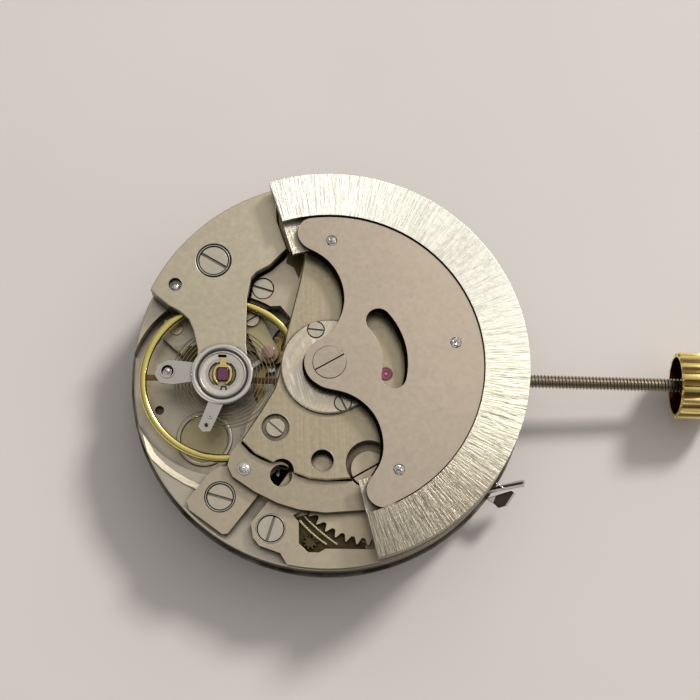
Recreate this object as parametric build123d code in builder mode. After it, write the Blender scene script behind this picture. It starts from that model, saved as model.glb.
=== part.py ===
from build123d import *
from math import atan2, cos, degrees, hypot, pi, radians, sin, sqrt
import os

# Automatic mechanical watch movement, 11 1/2 lignes, in millimetres.
# Z = 0 is the seat of the dial, +Z points to the rotor and +X along the stem to the crown.
# Places in plan are shares of LAYOUT_R, the radius that the layout is drawn on.

os.makedirs("parts", exist_ok=True)

CASING_R = 12.8
FLANGE_LIP = 0.2
FLANGE_R = CASING_R + FLANGE_LIP
LAYOUT_R = CASING_R / 1.28
FLANGE_Z = 0.6
FLANGE_T = 0.4
EDGE_BEVEL = 0.12
CLEAR = 0.02
GAP = 0.05
OVERRUN = 1.0

PLATE_T = 2.5
BRIDGE_T = 0.75
LOW_BRIDGE_T = 0.3
LOWER_AUTO_T = 0.6
AUTO_T = 0.4
BEARING_COVER_T = 0.3
DIAL_RECESS_T = 0.75
DATE_RECESS_T = 0.42
DATE_RIM = 1.05
DATE_RECESS_IN_R = 0.82 * LAYOUT_R
DATE_RECESS_OUT_R = CASING_R - DATE_RIM

PLATE_TOP = PLATE_T
BRIDGE_TOP = PLATE_TOP + BRIDGE_T
LOWER_AUTO_BASE = BRIDGE_TOP + GAP
LOWER_AUTO_TOP = LOWER_AUTO_BASE + LOWER_AUTO_T
AUTO_TOP = LOWER_AUTO_TOP + AUTO_T
COVER_TOP = AUTO_TOP + BEARING_COVER_T

JEWEL_R = 0.4
AUTO_JEWEL_R = 0.45
JEWEL_HOLE_R = 0.13
PIVOT_R = 0.1
PIVOT_END = 0.22
ARBOR_R = 0.18
GREAT_ARBOR_R = 0.27
WHEEL_ROOM = 0.17
DRUM_ROOM = 0.23
PINION_ROOM = 0.25
TOP_BEVEL = 0.08
SCREW_ROOM = 0.08


def at(x_share, y_share):
    return (LAYOUT_R * x_share, LAYOUT_R * y_share)


def around(centre, radius, angle):
    """A point at a radius and an angle in degrees from a centre."""
    return (centre[0] + radius * cos(radians(angle)), centre[1] + radius * sin(radians(angle)))


def distance(a, b):
    return hypot(a[0] - b[0], a[1] - b[1])


def bearing(a, b):
    """The direction from a to b, in degrees."""
    return degrees(atan2(b[1] - a[1], b[0] - a[0]))


def meet(a, radius_a, b, radius_b, side):
    """The point at given distances from two centres, on one side of the line between them."""
    span = distance(a, b)
    along = (span**2 + radius_a**2 - radius_b**2) / (2 * span)
    across = side * sqrt(radius_a**2 - along**2)
    unit_x = (b[0] - a[0]) / span
    unit_y = (b[1] - a[1]) / span
    return (a[0] + along * unit_x - across * unit_y, a[1] + along * unit_y + across * unit_x)


def disc(centre, radius, low, high, mode=Mode.ADD):
    with BuildSketch(Plane.XY.offset(low)) as face:
        with Locations(centre):
            Circle(radius)
    extrude(face.sketch, amount=high - low, mode=mode)


def ring(centre, inner, outer, low, high, mode=Mode.ADD):
    with BuildSketch(Plane.XY.offset(low)) as face:
        with Locations(centre):
            Circle(outer)
            Circle(inner, mode=Mode.SUBTRACT)
    extrude(face.sketch, amount=high - low, mode=mode)


def slab(points, low, high, mode=Mode.ADD, corner=0):
    """A plate with a straight-sided outline, its corners rounded if a radius is given."""
    with BuildSketch(Plane.XY.offset(low)) as face:
        with BuildLine():
            Polyline(*points, close=True)
        make_face()
        if corner:
            fillet(face.vertices(), corner)
    extrude(face.sketch, amount=high - low, mode=mode)


def outline(shares):
    return [at(*share) for share in shares]


def gear(centre, teeth, pitch_r, low, high, phase=0):
    """A toothed disc whose tooth height follows from its module."""
    module = 2 * pitch_r / teeth
    tip, root = pitch_r + 0.4 * module, pitch_r - 0.6 * module
    points = []
    for tooth in range(teeth):
        for share, radius in ((0.02, root), (0.17, tip), (0.33, tip), (0.48, root)):
            angle = 2 * pi * (tooth + share) / teeth + radians(phase)
            points.append((centre[0] + radius * cos(angle), centre[1] + radius * sin(angle)))
    slab(points, low, high)


def hooked_gear(centre, teeth, tip, root, low, high):
    """A ring of teeth that lean one way, as on a ratchet or an escape wheel."""
    points = []
    for tooth in range(teeth):
        for share, radius in ((0, root), (0.62, tip), (0.74, tip), (0.78, root)):
            angle = 2 * pi * (tooth + share) / teeth
            points.append((centre[0] + radius * cos(angle), centre[1] + radius * sin(angle)))
    slab(points, low, high)


def windows(centre, hub_r, rim_r, arms, arm_width, low, high, phase=0):
    """Cuts the openings between the arms of a wheel."""
    with BuildSketch(Plane.XY.offset(low)) as face:
        with Locations(centre):
            Circle(rim_r)
            Circle(hub_r, mode=Mode.SUBTRACT)
        for arm in range(arms):
            angle = phase + arm * 360 / arms
            with Locations(Location((*around(centre, rim_r / 2, angle), 0), (0, 0, angle))):
                Rectangle(rim_r * 1.2, arm_width, mode=Mode.SUBTRACT)
    extrude(face.sketch, amount=high - low, mode=Mode.SUBTRACT)


def slot(centre, angle, length, width, top, depth):
    with Locations(Location((*centre, top - depth / 2), (0, 0, angle))):
        Box(length, width, depth, mode=Mode.SUBTRACT)


def screw(centre, head_r, seat, head_t, shank_r, shank_l, angle):
    """A slotted screw: head above its seat, shank below it."""
    disc(centre, head_r, seat, seat + head_t)
    disc(centre, shank_r, seat - shank_l, seat)
    slot(centre, angle, 2 * head_r + CLEAR, 0.22 * head_r, seat + head_t, 0.45 * head_t)


def arm_between(a, b, width, low, high):
    """A bar with round ends between two points."""
    middle = ((a[0] + b[0]) / 2, (a[1] + b[1]) / 2)
    with BuildSketch(Plane.XY.offset(low)) as face:
        with Locations(Location((*middle, 0), (0, 0, bearing(a, b)))):
            SlotCenterToCenter(distance(a, b), width)
    extrude(face.sketch, amount=high - low)


def spiral(centre, start_r, pitch, half_turns, thickness, low, high):
    """A flat spring: a strip on end, wound in half-turn arcs."""
    with BuildSketch(Plane.XY.offset(low)) as face:
        with BuildLine():
            for side in (thickness / 2, -thickness / 2):
                for half in range(half_turns):
                    shift = pitch / 2 if half % 2 else 0
                    middle = (centre[0] + shift, centre[1])
                    radius = start_r + half * pitch / 2 + side
                    CenterArc(middle, radius, 180 * (half % 2), 180)
            inner = centre[0] + start_r
            Line((inner - thickness / 2, centre[1]), (inner + thickness / 2, centre[1]))
            sign = -1 if half_turns % 2 else 1
            last_shift = 0 if half_turns % 2 else pitch / 2
            reach = start_r + (half_turns - 1) * pitch / 2
            outer = centre[0] + last_shift + sign * reach
            Line((outer - thickness / 2, centre[1]), (outer + thickness / 2, centre[1]))
        make_face()
    extrude(face.sketch, amount=high - low)


# Train layout: the barrel and balance are placed, the rest follows from the wheels
CENTRE = (0, 0)
BARREL = at(0.27, -0.64)
BALANCE = at(-0.68, -0.07)
BARREL_TEETH, GREAT_PINION_TEETH = 78, 12
GREAT_TEETH, THIRD_PINION_TEETH = 64, 8
THIRD_TEETH, FOURTH_PINION_TEETH = 60, 8
FOURTH_TEETH, ESCAPE_PINION_TEETH = 72, 8
ESCAPE_TEETH = 20
BARREL_SPAN = 0.5625 * LAYOUT_R
GREAT_SPAN = 0.29 * LAYOUT_R
THIRD_SPAN = 0.26 * LAYOUT_R
ESCAPE_SPAN = 0.256 * LAYOUT_R
GREAT = around(BARREL, BARREL_SPAN, 150)
THIRD = meet(GREAT, GREAT_SPAN, CENTRE, THIRD_SPAN, 1)
ESCAPE = around(CENTRE, ESCAPE_SPAN, 136)
PALLET = at(-0.4, 0.135)


def wheel_r(span, teeth, mate_teeth):
    """The pitch radius of one of two meshing wheels."""
    return span * teeth / (teeth + mate_teeth)


BARREL_R = wheel_r(BARREL_SPAN, BARREL_TEETH, GREAT_PINION_TEETH)
GREAT_PINION_R = wheel_r(BARREL_SPAN, GREAT_PINION_TEETH, BARREL_TEETH)
GREAT_R = wheel_r(GREAT_SPAN, GREAT_TEETH, THIRD_PINION_TEETH)
THIRD_PINION_R = wheel_r(GREAT_SPAN, THIRD_PINION_TEETH, GREAT_TEETH)
THIRD_R = wheel_r(THIRD_SPAN, THIRD_TEETH, FOURTH_PINION_TEETH)
FOURTH_PINION_R = wheel_r(THIRD_SPAN, FOURTH_PINION_TEETH, THIRD_TEETH)
FOURTH_R = wheel_r(ESCAPE_SPAN, FOURTH_TEETH, ESCAPE_PINION_TEETH)
ESCAPE_PINION_R = wheel_r(ESCAPE_SPAN, ESCAPE_PINION_TEETH, FOURTH_TEETH)
ESCAPE_R = 0.9 * distance(ESCAPE, PALLET)
DRUM_R = 0.933 * BARREL_R

# Levels of the train
WHEEL_T = 0.12
FORK_ROOM_R = 1.6
BARREL_PIVOT_R = 0.58
BARREL_FLOOR = 0.95
TRAIN_FLOOR = 1.05
BALANCE_FLOOR = 1.5
BARREL_BASE = BARREL_FLOOR + GAP
BARREL_T = 1.0
BARREL_COVER_T = 0.14
DRUM_TOOTH_T = 0.25
BARREL_TOP = BARREL_BASE + BARREL_T + BARREL_COVER_T
GREAT_Z = BARREL_TOP + 0.08 * BARREL_T
THIRD_LIFT = 0.4
ESCAPE_GAP = 0.08
FOURTH_GAP = 0.13
THIRD_Z = TRAIN_FLOOR + THIRD_LIFT
ESCAPE_Z = THIRD_Z + WHEEL_T + ESCAPE_GAP
FOURTH_Z = ESCAPE_Z + WHEEL_T + FOURTH_GAP

# Balance
RIM_R = 0.54 * LAYOUT_R
RIM_W = 0.42
RIM_T = 0.4
RIM_Z = PLATE_TOP + LOW_BRIDGE_T + GAP
RECESS_ROOM = 0.8
BALANCE_RECESS_R = RIM_R + RECESS_ROOM
STAFF_R = 0.35
ROLLER_R = 0.95
HAIRSPRING_IN_R = 0.62
HAIRSPRING_PITCH = 0.023 * LAYOUT_R
HAIRSPRING_HALF_TURNS = 25
HAIRSPRING_T = 0.04
HAIRSPRING_H = 0.14
COCK_TOP = 4.15
COCK_ARM_T = 0.6
SHOCK_R = 0.144 * LAYOUT_R
SHOCK_HOLE_R = 0.95
REGULATOR_R = 0.2 * LAYOUT_R
REGULATOR_T = 0.14

# Winding: the crown wheel stands over the stem, between the ratchet wheel and the pinion
STEM_Z = 2.1
STEM_R = 0.55
STEM_CORE_R = 0.38
THREAD_R = 0.45
THREAD_PITCH = 0.225
RATCHET_TEETH, CROWN_WHEEL_TEETH, WINDING_PINION_TEETH = 42, 20, 16
RATCHET_R = 0.475 * LAYOUT_R
CROWN_WHEEL_R = RATCHET_R * CROWN_WHEEL_TEETH / RATCHET_TEETH
RATCHET_T = 0.3
RATCHET_LIFT = 0.4
RATCHET_Z = PLATE_TOP + RATCHET_LIFT
CROWN_WHEEL_X = BARREL[0] + sqrt((RATCHET_R + CROWN_WHEEL_R) ** 2 - BARREL[1] ** 2)
CROWN_WHEEL = (CROWN_WHEEL_X, 0)
PINION_R = 0.93
PINION_OVERLAP = 0.4
PINION_X = CROWN_WHEEL_X + CROWN_WHEEL_R - PINION_OVERLAP
PINION_L = 0.9
CLUTCH_R = 0.75
CLUTCH_L = 0.14 * LAYOUT_R
CLUTCH_TRAVEL = 0.6
CLUTCH_X = PINION_X - GAP - CLUTCH_L
STEM_PILOT_L = 0.7
STEM_END_ROOM = 0.3
STEM_IN_X = CLUTCH_X - STEM_PILOT_L
STEM_SHOULDER_X = PINION_X + PINION_L + GAP
STEM_OUT_X = 1.008 * CASING_R
CROWN_REACH = 10.0
CROWN_X = CASING_R + CROWN_REACH
CROWN_R = 2.2
CROWN_L = 3.0
CROWN_WALL = 0.45
FLUTES = 30

# Automatic winding
RATCHET_PINION_TEETH = 6
REDUCTION_SPAN = RATCHET_R * (1 + RATCHET_PINION_TEETH / RATCHET_TEETH)
REDUCTION = around(BARREL, REDUCTION_SPAN, 100)
REVERSER = at(0.364, -0.034)
ROTOR_PINION_TEETH, REVERSER_TEETH = 24, 48
REVERSER_PINION_TEETH, REDUCTION_TEETH = 8, 38
ROTOR_PINION_R = wheel_r(distance(CENTRE, REVERSER), ROTOR_PINION_TEETH, REVERSER_TEETH)
REVERSER_R = wheel_r(distance(CENTRE, REVERSER), REVERSER_TEETH, ROTOR_PINION_TEETH)
REVERSER_PINION_R = wheel_r(distance(REVERSER, REDUCTION), REVERSER_PINION_TEETH, REDUCTION_TEETH)
REDUCTION_R = wheel_r(distance(REVERSER, REDUCTION), REDUCTION_TEETH, REVERSER_PINION_TEETH)
AUTO_FLOOR_T = 0.15
REVERSER_LIFT = 0.22
AUTO_FLOOR = LOWER_AUTO_BASE + AUTO_FLOOR_T
REDUCTION_Z = AUTO_FLOOR + GAP
REVERSER_Z = REDUCTION_Z + REVERSER_LIFT

# Rotor
GROOVE_GAP = 0.06
ROTOR_R = CASING_R - GAP
RING_IN_R = 0.989 * LAYOUT_R
LEDGE_IN_R = 0.77 * LAYOUT_R
SHEET_R = RING_IN_R - GROOVE_GAP
RING_BASE = 4.62
RING_TOP = 5.67
LEDGE_BASE = 4.8
SHEET_BASE = 5.15
SHEET_TOP = 5.55
ROTOR_START = -75
ROTOR_SWEEP = 184.5
HUB_R = 0.16 * LAYOUT_R
AXLE_R = 0.5
KIDNEY_R = 0.418 * LAYOUT_R
KIDNEY_W = 0.16 * LAYOUT_R
ROTOR_SCREW_R = 0.105 * LAYOUT_R

# Dial side
SECONDS_ARBOR_R = 0.12
TUBE_R = 0.27
TUBE_TIP = -0.5
TUBE_BORE_R = 0.16
MINUTE_SEAT_R = 0.43
MINUTE_SEAT_L = 0.33
CANNON_R = 0.62
CANNON_BORE_R = 0.3
HOUR_SEAT_R = 0.8
HOUR_PIPE_R = 1.0
HOUR_BORE_R = 0.65
HOUR_TIP = -0.35
MINUTE_TIP = -0.7
SECONDS_TIP = -1.0
MOTION_SPAN = 0.24 * LAYOUT_R
CANNON_TEETH, MINUTE_TEETH, MINUTE_PINION_TEETH, HOUR_TEETH = 12, 36, 10, 40
SETTING_TEETH = 26
CANNON_DRIVE_Z = 0.62
CANNON_DRIVE_T = 0.09
MINUTE_Z = 0.49
HOUR_Z = 0.24
MOTION_T = 0.09
SETTING_R = MOTION_SPAN * 0.75 * SETTING_TEETH / MINUTE_TEETH
SETTING_REACH = 1.5
SETTING_HUB_R = 0.7
SETTING = (CLUTCH_X - SETTING_REACH, 0)
MINUTE = meet(CENTRE, MOTION_SPAN, SETTING, MOTION_SPAN * 0.75 + SETTING_R, 1)
DATE_PINION_TEETH, DATE_IDLER_TEETH, DATE_TEETH = 24, 36, 48
DATE_MODULE = 0.01 * LAYOUT_R
DATE_IDLER = around(CENTRE, DATE_MODULE * (DATE_PINION_TEETH + DATE_IDLER_TEETH) / 2, 150)
DATE_SPAN = DATE_MODULE * (DATE_IDLER_TEETH + DATE_TEETH) / 2
DATE_WHEEL = meet(CENTRE, 0.56 * LAYOUT_R, DATE_IDLER, DATE_SPAN, -1)
DATE_WHEEL_Z = 0.36
CALENDAR_Z = 0.05
CALENDAR_T = 0.15
CALENDAR_R = 0.892 * LAYOUT_R
PIPE_ROOM = 0.2
CALENDAR_SHANK_R = 0.216
DATE_RING_Z = 0.08
DATE_RING_T = 0.25
DATE_RING_GAP = 0.25
DATE_RING_IN_R = 0.9 * LAYOUT_R
DATE_RING_OUT_R = DATE_RECESS_OUT_R - DATE_RING_GAP
DATE_TOOTH_R = 0.845 * LAYOUT_R
DATES = 31
DATE_TOOTH_STEP = 0.15
DATE_GAP_R = 0.42
POST_R = 0.7
POST_ANGLES = (55, 175, 290)
POST_REACH = 0.73 * LAYOUT_R
DIAL_FOOT_R = 0.35
DIAL_FOOT_EDGE = 0.53
DIAL_FOOT_REACH = CASING_R - DIAL_FOOT_EDGE
DIAL_FOOT_DEPTH = 1.5
DIAL_FEET = (-46, 127)
CLAMP_Z = 1.15
CLAMP_T = 0.2

# Screws: place as shares, head radius, slot angle
BRIDGE_SCREW_R = 0.8
BRIDGE_SCREWS = (
    ((-0.667, -0.84), -14.5),
    ((-0.34, -1.033), 74),
    ((0.98, -0.62), 20),
    ((1.07, 0.17), 65),
    ((0.62, 0.93), -35),
    ((1.02, 0.52), 10),
)
COCK_SCREW = at(-0.775, 0.704)
COCK_SCREW_R = 0.93
PLATE_SCREW_R = 0.58
AUTO_SCREWS = (((-0.33, -0.404), -39), ((0.66, 0.42), 12), ((0.62, -0.5), 50))
TRAIN_SCREW = at(-0.45, 0.55)
TRAIN_SCREW_R = 0.67
COVER_SCREWS = (((-0.093, 0.239), -5), ((0.093, -0.239), -62))
COVER_SCREW_R = 0.5
HEAD_T = 0.4
DOWELS = ((-1.017, 0.533), (-0.52, -0.667), (-1.015, 0.293))
DOWEL_R = 0.42

COCK_SHARES = (
    (-1.129, 0.45),
    (-1.05, 0.388),
    (-0.975, 0.35),
    (-0.917, 0.3),
    (-0.883, 0.225),
    (-0.85, 0.1),
    (-0.85, -0.07),
    (-0.51, -0.07),
    (-0.54, 0.15),
    (-0.546, 0.45),
    (-0.525, 0.592),
    (-0.492, 0.633),
    (-0.408, 0.683),
    (-0.333, 0.767),
    (-0.3, 0.8),
    (-0.372, 0.986),
    (-0.4, 1.25),
    (-1.1, 1.25),
    (-1.3, 0.6),
)
TRAIN_BRIDGE_SHARES = (
    (-0.875, -0.867),
    (-0.858, -0.925),
    (-0.642, -1.075),
    (-0.608, -1.07),
    (-0.44, -0.84),
    (-0.2, -0.45),
    (0.085, -0.2),
    (0.085, 0.29),
    (1.3, 0.29),
    (1.3, 1.2),
    (-0.385, 1.25),
    (-0.357, 0.99),
    (-0.282, 0.8),
    (-0.32, 0.747),
    (-0.4, 0.67),
    (-0.48, 0.62),
    (-0.51, 0.585),
    (-0.53, 0.45),
    (-0.46, 0.425),
    (-0.33, 0.435),
    (-0.24, 0.33),
    (-0.29, 0.2),
    (-0.32, 0.04),
    (-0.36, -0.1),
    (-0.46, -0.22),
    (-0.52, -0.36),
    (-0.55, -0.5),
    (-0.6, -0.58),
    (-0.75, -0.7),
)
BARREL_BRIDGE_SHARES = (
    (-0.38, -0.885),
    (-0.467, -1.0),
    (-0.45, -1.09),
    (-0.41, -1.14),
    (-0.275, -1.185),
    (-0.2, -1.3),
    (1.3, -1.3),
    (1.3, 0.28),
    (0.095, 0.28),
    (0.095, -0.185),
    (0.0, -0.4),
    (-0.23, -0.66),
)
CLICK_POCKET_SHARES = (
    (-0.2, -0.945),
    (-0.165, -0.985),
    (-0.16, -1.12),
    (-0.1, -1.175),
    (-0.033, -1.175),
    (0.01, -1.15),
    (0.267, -1.146),
    (0.27, -0.64),
)
LOWER_AUTO_SHARES = (
    (-0.55, -0.49),
    (-0.61, -0.57),
    (-0.625, -0.65),
    (-0.59, -0.72),
    (-0.45, -0.81),
    (-0.3, -0.88),
    (-0.167, -0.917),
    (0, -0.933),
    (0.24, -0.91),
    (0.55, -0.8),
    (0.85, -0.5),
    (0.95, 0),
    (0.85, 0.48),
    (0.5, 0.84),
    (0.1, 0.93),
    (-0.13, 0.85),
    (-0.14, 0.7),
    (-0.22, 0.3),
    (-0.27, 0),
    (-0.33, -0.16),
    (-0.42, -0.34),
)
AUTO_SHARES = (
    (-0.183, 0.725),
    (-0.208, 0.567),
    (-0.275, 0.25),
    (-0.308, 0.06),
    (-0.322, -0.06),
    (-0.345, -0.15),
    (-0.39, -0.235),
    (-0.44, -0.323),
    (-0.5, -0.42),
    (-0.54, -0.49),
    (-0.45, -0.575),
    (-0.34, -0.625),
    (-0.2, -0.69),
    (-0.1, -0.725),
    (0.01, -0.733),
    (0.167, -0.717),
    (0.3, -0.8),
    (0.5, -0.75),
    (0.78, -0.47),
    (0.88, 0),
    (0.79, 0.43),
    (0.48, 0.76),
    (0.1, 0.86),
    (-0.15, 0.86),
)
SHEET_SHARES = (
    (-0.153, 0.965),
    (-0.215, 0.92),
    (-0.229, 0.863),
    (-0.187, 0.779),
    (-0.11, 0.736),
    (-0.009, 0.66),
    (0.067, 0.525),
    (0.084, 0.406),
    (0.041, 0.254),
    (-0.009, 0.186),
    (-0.094, 0.119),
    (-0.145, 0.051),
    (-0.153, -0.017),
    (-0.119, -0.1),
    (-0.043, -0.16),
    (0.075, -0.186),
    (0.194, -0.237),
    (0.295, -0.338),
    (0.346, -0.474),
    (0.343, -0.61),
    (0.295, -0.71),
    (0.253, -0.795),
    (0.278, -0.88),
    (0.346, -0.917),
    (0.436, -0.88),
)
RATCHET_RECESS = at(0.27, -0.62)
RATCHET_RECESS_R = 0.15 * LAYOUT_R


def screw_hole(centre, head_r, top, depth, shank_r):
    """A counterbored hole for a screw whose seat lies below the top of its plate."""
    disc(centre, head_r + SCREW_ROOM, top - depth, top + OVERRUN, Mode.SUBTRACT)
    disc(centre, shank_r + CLEAR, -OVERRUN, top, Mode.SUBTRACT)


SHANK_R = 0.36
SCREW_DEPTH = 0.45
SCREW_REACH = 1.3


def main_plate_outline():
    disc(CENTRE, CASING_R, 0, PLATE_TOP)
    chamfer(plate.edges().filter_by(GeomType.CIRCLE).sort_by(Axis.Z)[-1], EDGE_BEVEL)
    disc(CENTRE, FLANGE_R, FLANGE_Z, FLANGE_Z + FLANGE_T)


def dial_side_cuts():
    ring(CENTRE, DATE_RECESS_IN_R - CLEAR, DATE_RECESS_OUT_R, -OVERRUN, DATE_RECESS_T, Mode.SUBTRACT)
    disc(CENTRE, DATE_RECESS_IN_R, -OVERRUN, DIAL_RECESS_T, Mode.SUBTRACT)
    for angle in POST_ANGLES:
        post = around(CENTRE, POST_REACH, angle)
        disc(post, POST_R, CALENDAR_Z + CALENDAR_T, DIAL_RECESS_T + GAP)
        disc(post, CALENDAR_SHANK_R, -OVERRUN, DIAL_RECESS_T, Mode.SUBTRACT)
    for angle in DIAL_FEET:
        foot = around(CENTRE, DIAL_FOOT_REACH, angle)
        disc(foot, DIAL_FOOT_R, -OVERRUN, DIAL_FOOT_DEPTH, Mode.SUBTRACT)


def train_cuts():
    above = PLATE_TOP + OVERRUN
    disc(BALANCE, BALANCE_RECESS_R, BALANCE_FLOOR, above, Mode.SUBTRACT)
    disc(BARREL, BARREL_R + DRUM_ROOM, BARREL_FLOOR, above, Mode.SUBTRACT)
    disc(GREAT, GREAT_R + WHEEL_ROOM, TRAIN_FLOOR, above, Mode.SUBTRACT)
    disc(GREAT, GREAT_PINION_R + PINION_ROOM, BARREL_FLOOR, above, Mode.SUBTRACT)
    disc(THIRD, THIRD_R + WHEEL_ROOM, TRAIN_FLOOR, above, Mode.SUBTRACT)
    disc(CENTRE, FOURTH_R + WHEEL_ROOM, TRAIN_FLOOR, above, Mode.SUBTRACT)
    disc(ESCAPE, ESCAPE_R + WHEEL_ROOM, TRAIN_FLOOR, above, Mode.SUBTRACT)
    arm_pocket = around(PALLET, 0.2 * LAYOUT_R, bearing(PALLET, BALANCE))
    disc(arm_pocket, FORK_ROOM_R, TRAIN_FLOOR + GAP, above, Mode.SUBTRACT)
    disc(GREAT, GREAT_ARBOR_R + GAP, -OVERRUN, BARREL_FLOOR, Mode.SUBTRACT)
    disc(BARREL, BARREL_PIVOT_R + 2 * CLEAR, -OVERRUN, above, Mode.SUBTRACT)
    disc(BALANCE, SHOCK_HOLE_R, -OVERRUN, above, Mode.SUBTRACT)
    for pivot in (THIRD, ESCAPE, PALLET):
        disc(pivot, JEWEL_R, -OVERRUN, above, Mode.SUBTRACT)


def keyless_cuts():
    above = PLATE_TOP + OVERRUN
    works_in = STEM_IN_X - STEM_END_ROOM
    works_out = STEM_SHOULDER_X
    middle = (works_in + works_out) / 2
    low = STEM_Z - PINION_R - GAP
    with Locations((middle, 0, (low + above) / 2)):
        Box(works_out - works_in, 2 * PINION_R + 2 * GAP, above - low, mode=Mode.SUBTRACT)
    with BuildSketch(Plane.YZ.offset(works_out - GAP)) as bore:
        with Locations((0, STEM_Z)):
            Circle(STEM_R + GAP)
            with Locations((0, STEM_R)):
                Rectangle(2 * (STEM_R + GAP), 2 * STEM_R)
    extrude(bore.sketch, amount=CASING_R, mode=Mode.SUBTRACT)
    disc(SETTING, SETTING_HUB_R + GAP, -OVERRUN, above, Mode.SUBTRACT)
    slab(LEVER_POCKET, LEVER_Z - LEVER_SINK, LEVER_Z + LEVER_T + LEVER_LIFT, Mode.SUBTRACT)
    for pin in (LEVER_PIN, YOKE_PIN):
        with BuildSketch(Plane.XY.offset(0)) as way:
            with Locations(pin):
                Rectangle(PIN_WAY_L, PIN_WAY_W)
        extrude(way.sketch, amount=STEM_Z, mode=Mode.SUBTRACT)


LEVER_T = 0.15
LEVER_Z = 0.56
LEVER_SINK = 0.26
LEVER_LIFT = 0.16
LEVER_W = 0.6
LEVER_PIN_R = 0.12
LEVER_ARM = 2.2
PIN_WAY_L = 2.4
PIN_WAY_W = 1.0
GROOVE_REACH = 1.3
STEM_GROOVE_X = STEM_SHOULDER_X + GROOVE_REACH
GROOVE_W = 0.42
LEVER_PIN = (STEM_GROOVE_X, 0)
LEVER_PIVOT = (STEM_GROOVE_X, LEVER_ARM)
YOKE_ARM = 2.8
YOKE_W = 0.5
YOKE_PIN_R = 0.14
YOKE_PIN = (CLUTCH_X + 0.5 * CLUTCH_L, 0)
YOKE_PIVOT = (YOKE_PIN[0], YOKE_ARM)
POCKET_IN = 1.6
POCKET_OUT = 1.2
POCKET_SIDE = 0.9
LEVER_POCKET = (
    (YOKE_PIN[0] - POCKET_IN, -POCKET_SIDE),
    (STEM_GROOVE_X + POCKET_OUT, -POCKET_SIDE),
    (STEM_GROOVE_X + POCKET_OUT, LEVER_ARM + POCKET_SIDE),
    (YOKE_PIN[0] - POCKET_IN, YOKE_ARM + POCKET_SIDE),
)

CAVITY = at(-0.796, -0.44)
CAVITY_R = 1.5
CAVITY_DEPTH = 0.35
FLOOR_HOLE = at(-1.1, -0.25)
FLOOR_HOLE_R = 0.3
FLOOR_HOLE_DEPTH = 0.4
ADJUSTER_HOLE = at(-0.285, -0.705)
ADJUSTER_R = 0.7
ADJUSTER_DEPTH = 1.1
PIN_TAB_H = 0.5
PIN_H = 0.6
PIN_TAB_SHARES = (
    (-1.105, 0.23),
    (-1.095, 0.35),
    (-0.91, 0.36),
    (-0.875, 0.19),
    (-0.885, 0.07),
    (-0.95, 0.07),
    (-0.96, 0.105),
)

CLAMP_EDGE = 1.2
CLAMP_REACH = CASING_R - CLAMP_EDGE
CLAMP_L = 4.3
SHORT_CLAMP_L = 2.1
CLAMP_W = 0.34
CLAMP_R = 0.6
CLAMP_ROOM = 0.5
CLAMP_POST_R = 0.18
CLAMPS = ((-42, 58, CLAMP_L, (-10, 0, 10, 20)), (131, -90, SHORT_CLAMP_L, (0, 5, 10, 15)))
POSTS = (MINUTE, DATE_IDLER, DATE_WHEEL)
MOTION_POST_R = 0.15


def clamp_bar(pivot, direction, reach, width, low, high, mode=Mode.ADD):
    """A dial-foot clamp's lever, or the room that it swings in."""
    tip = around(pivot, reach, direction)
    middle = ((pivot[0] + tip[0]) / 2, (pivot[1] + tip[1]) / 2)
    with BuildSketch(Plane.XY.offset(low)) as face:
        with Locations(Location((*middle, 0), (0, 0, direction))):
            SlotCenterToCenter(reach, width)
    extrude(face.sketch, amount=high - low, mode=mode)


def clamp_cuts():
    low, high = CLAMP_Z - GAP, CLAMP_Z + CLAMP_T + GAP
    for angle, bend, reach, turns in CLAMPS:
        pivot = around(CENTRE, CLAMP_REACH, angle)
        disc(pivot, CLAMP_R + GAP, low, high, Mode.SUBTRACT)
        for turn in turns:
            clamp_bar(pivot, angle + bend + turn, reach, CLAMP_W + CLAMP_ROOM, low, high, Mode.SUBTRACT)
        disc(pivot, CLAMP_POST_R, low - GAP, high + GAP)


with BuildPart() as plate:
    main_plate_outline()
    train_cuts()
    dial_side_cuts()
    keyless_cuts()
    clamp_cuts()
    disc(CAVITY, CAVITY_R, BALANCE_FLOOR - CAVITY_DEPTH, PLATE_TOP, Mode.SUBTRACT)
    slab(outline(PIN_TAB_SHARES), BALANCE_FLOOR - GAP, BALANCE_FLOOR + PIN_TAB_H)
    disc(at(*DOWELS[2]), DOWEL_R + CLEAR, BALANCE_FLOOR, PLATE_TOP, Mode.SUBTRACT)
    disc(FLOOR_HOLE, FLOOR_HOLE_R, BALANCE_FLOOR - FLOOR_HOLE_DEPTH, PLATE_TOP, Mode.SUBTRACT)
    disc(ADJUSTER_HOLE, ADJUSTER_R, PLATE_TOP - ADJUSTER_DEPTH, PLATE_TOP + OVERRUN, Mode.SUBTRACT)
    for place, angle in BRIDGE_SCREWS:
        disc(at(*place), SHANK_R + CLEAR, DIAL_RECESS_T, PLATE_TOP + OVERRUN, Mode.SUBTRACT)
    for hole in (COCK_SCREW, TRAIN_SCREW):
        disc(hole, SHANK_R + CLEAR, DIAL_RECESS_T, PLATE_TOP + OVERRUN, Mode.SUBTRACT)
    for post in POSTS:
        disc(post, MOTION_POST_R, HOUR_Z, DIAL_RECESS_T + GAP)
    disc(CENTRE, TUBE_R, TUBE_TIP, DIAL_RECESS_T + GAP)
    disc(CENTRE, TUBE_BORE_R, -OVERRUN, PLATE_TOP, Mode.SUBTRACT)
    disc(at(*DOWELS[0]), DOWEL_R + CLEAR, TRAIN_FLOOR, PLATE_TOP + OVERRUN, Mode.SUBTRACT)
plate.part.label = "main_plate"
export_step(plate.part, "parts/main_plate.step")

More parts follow.
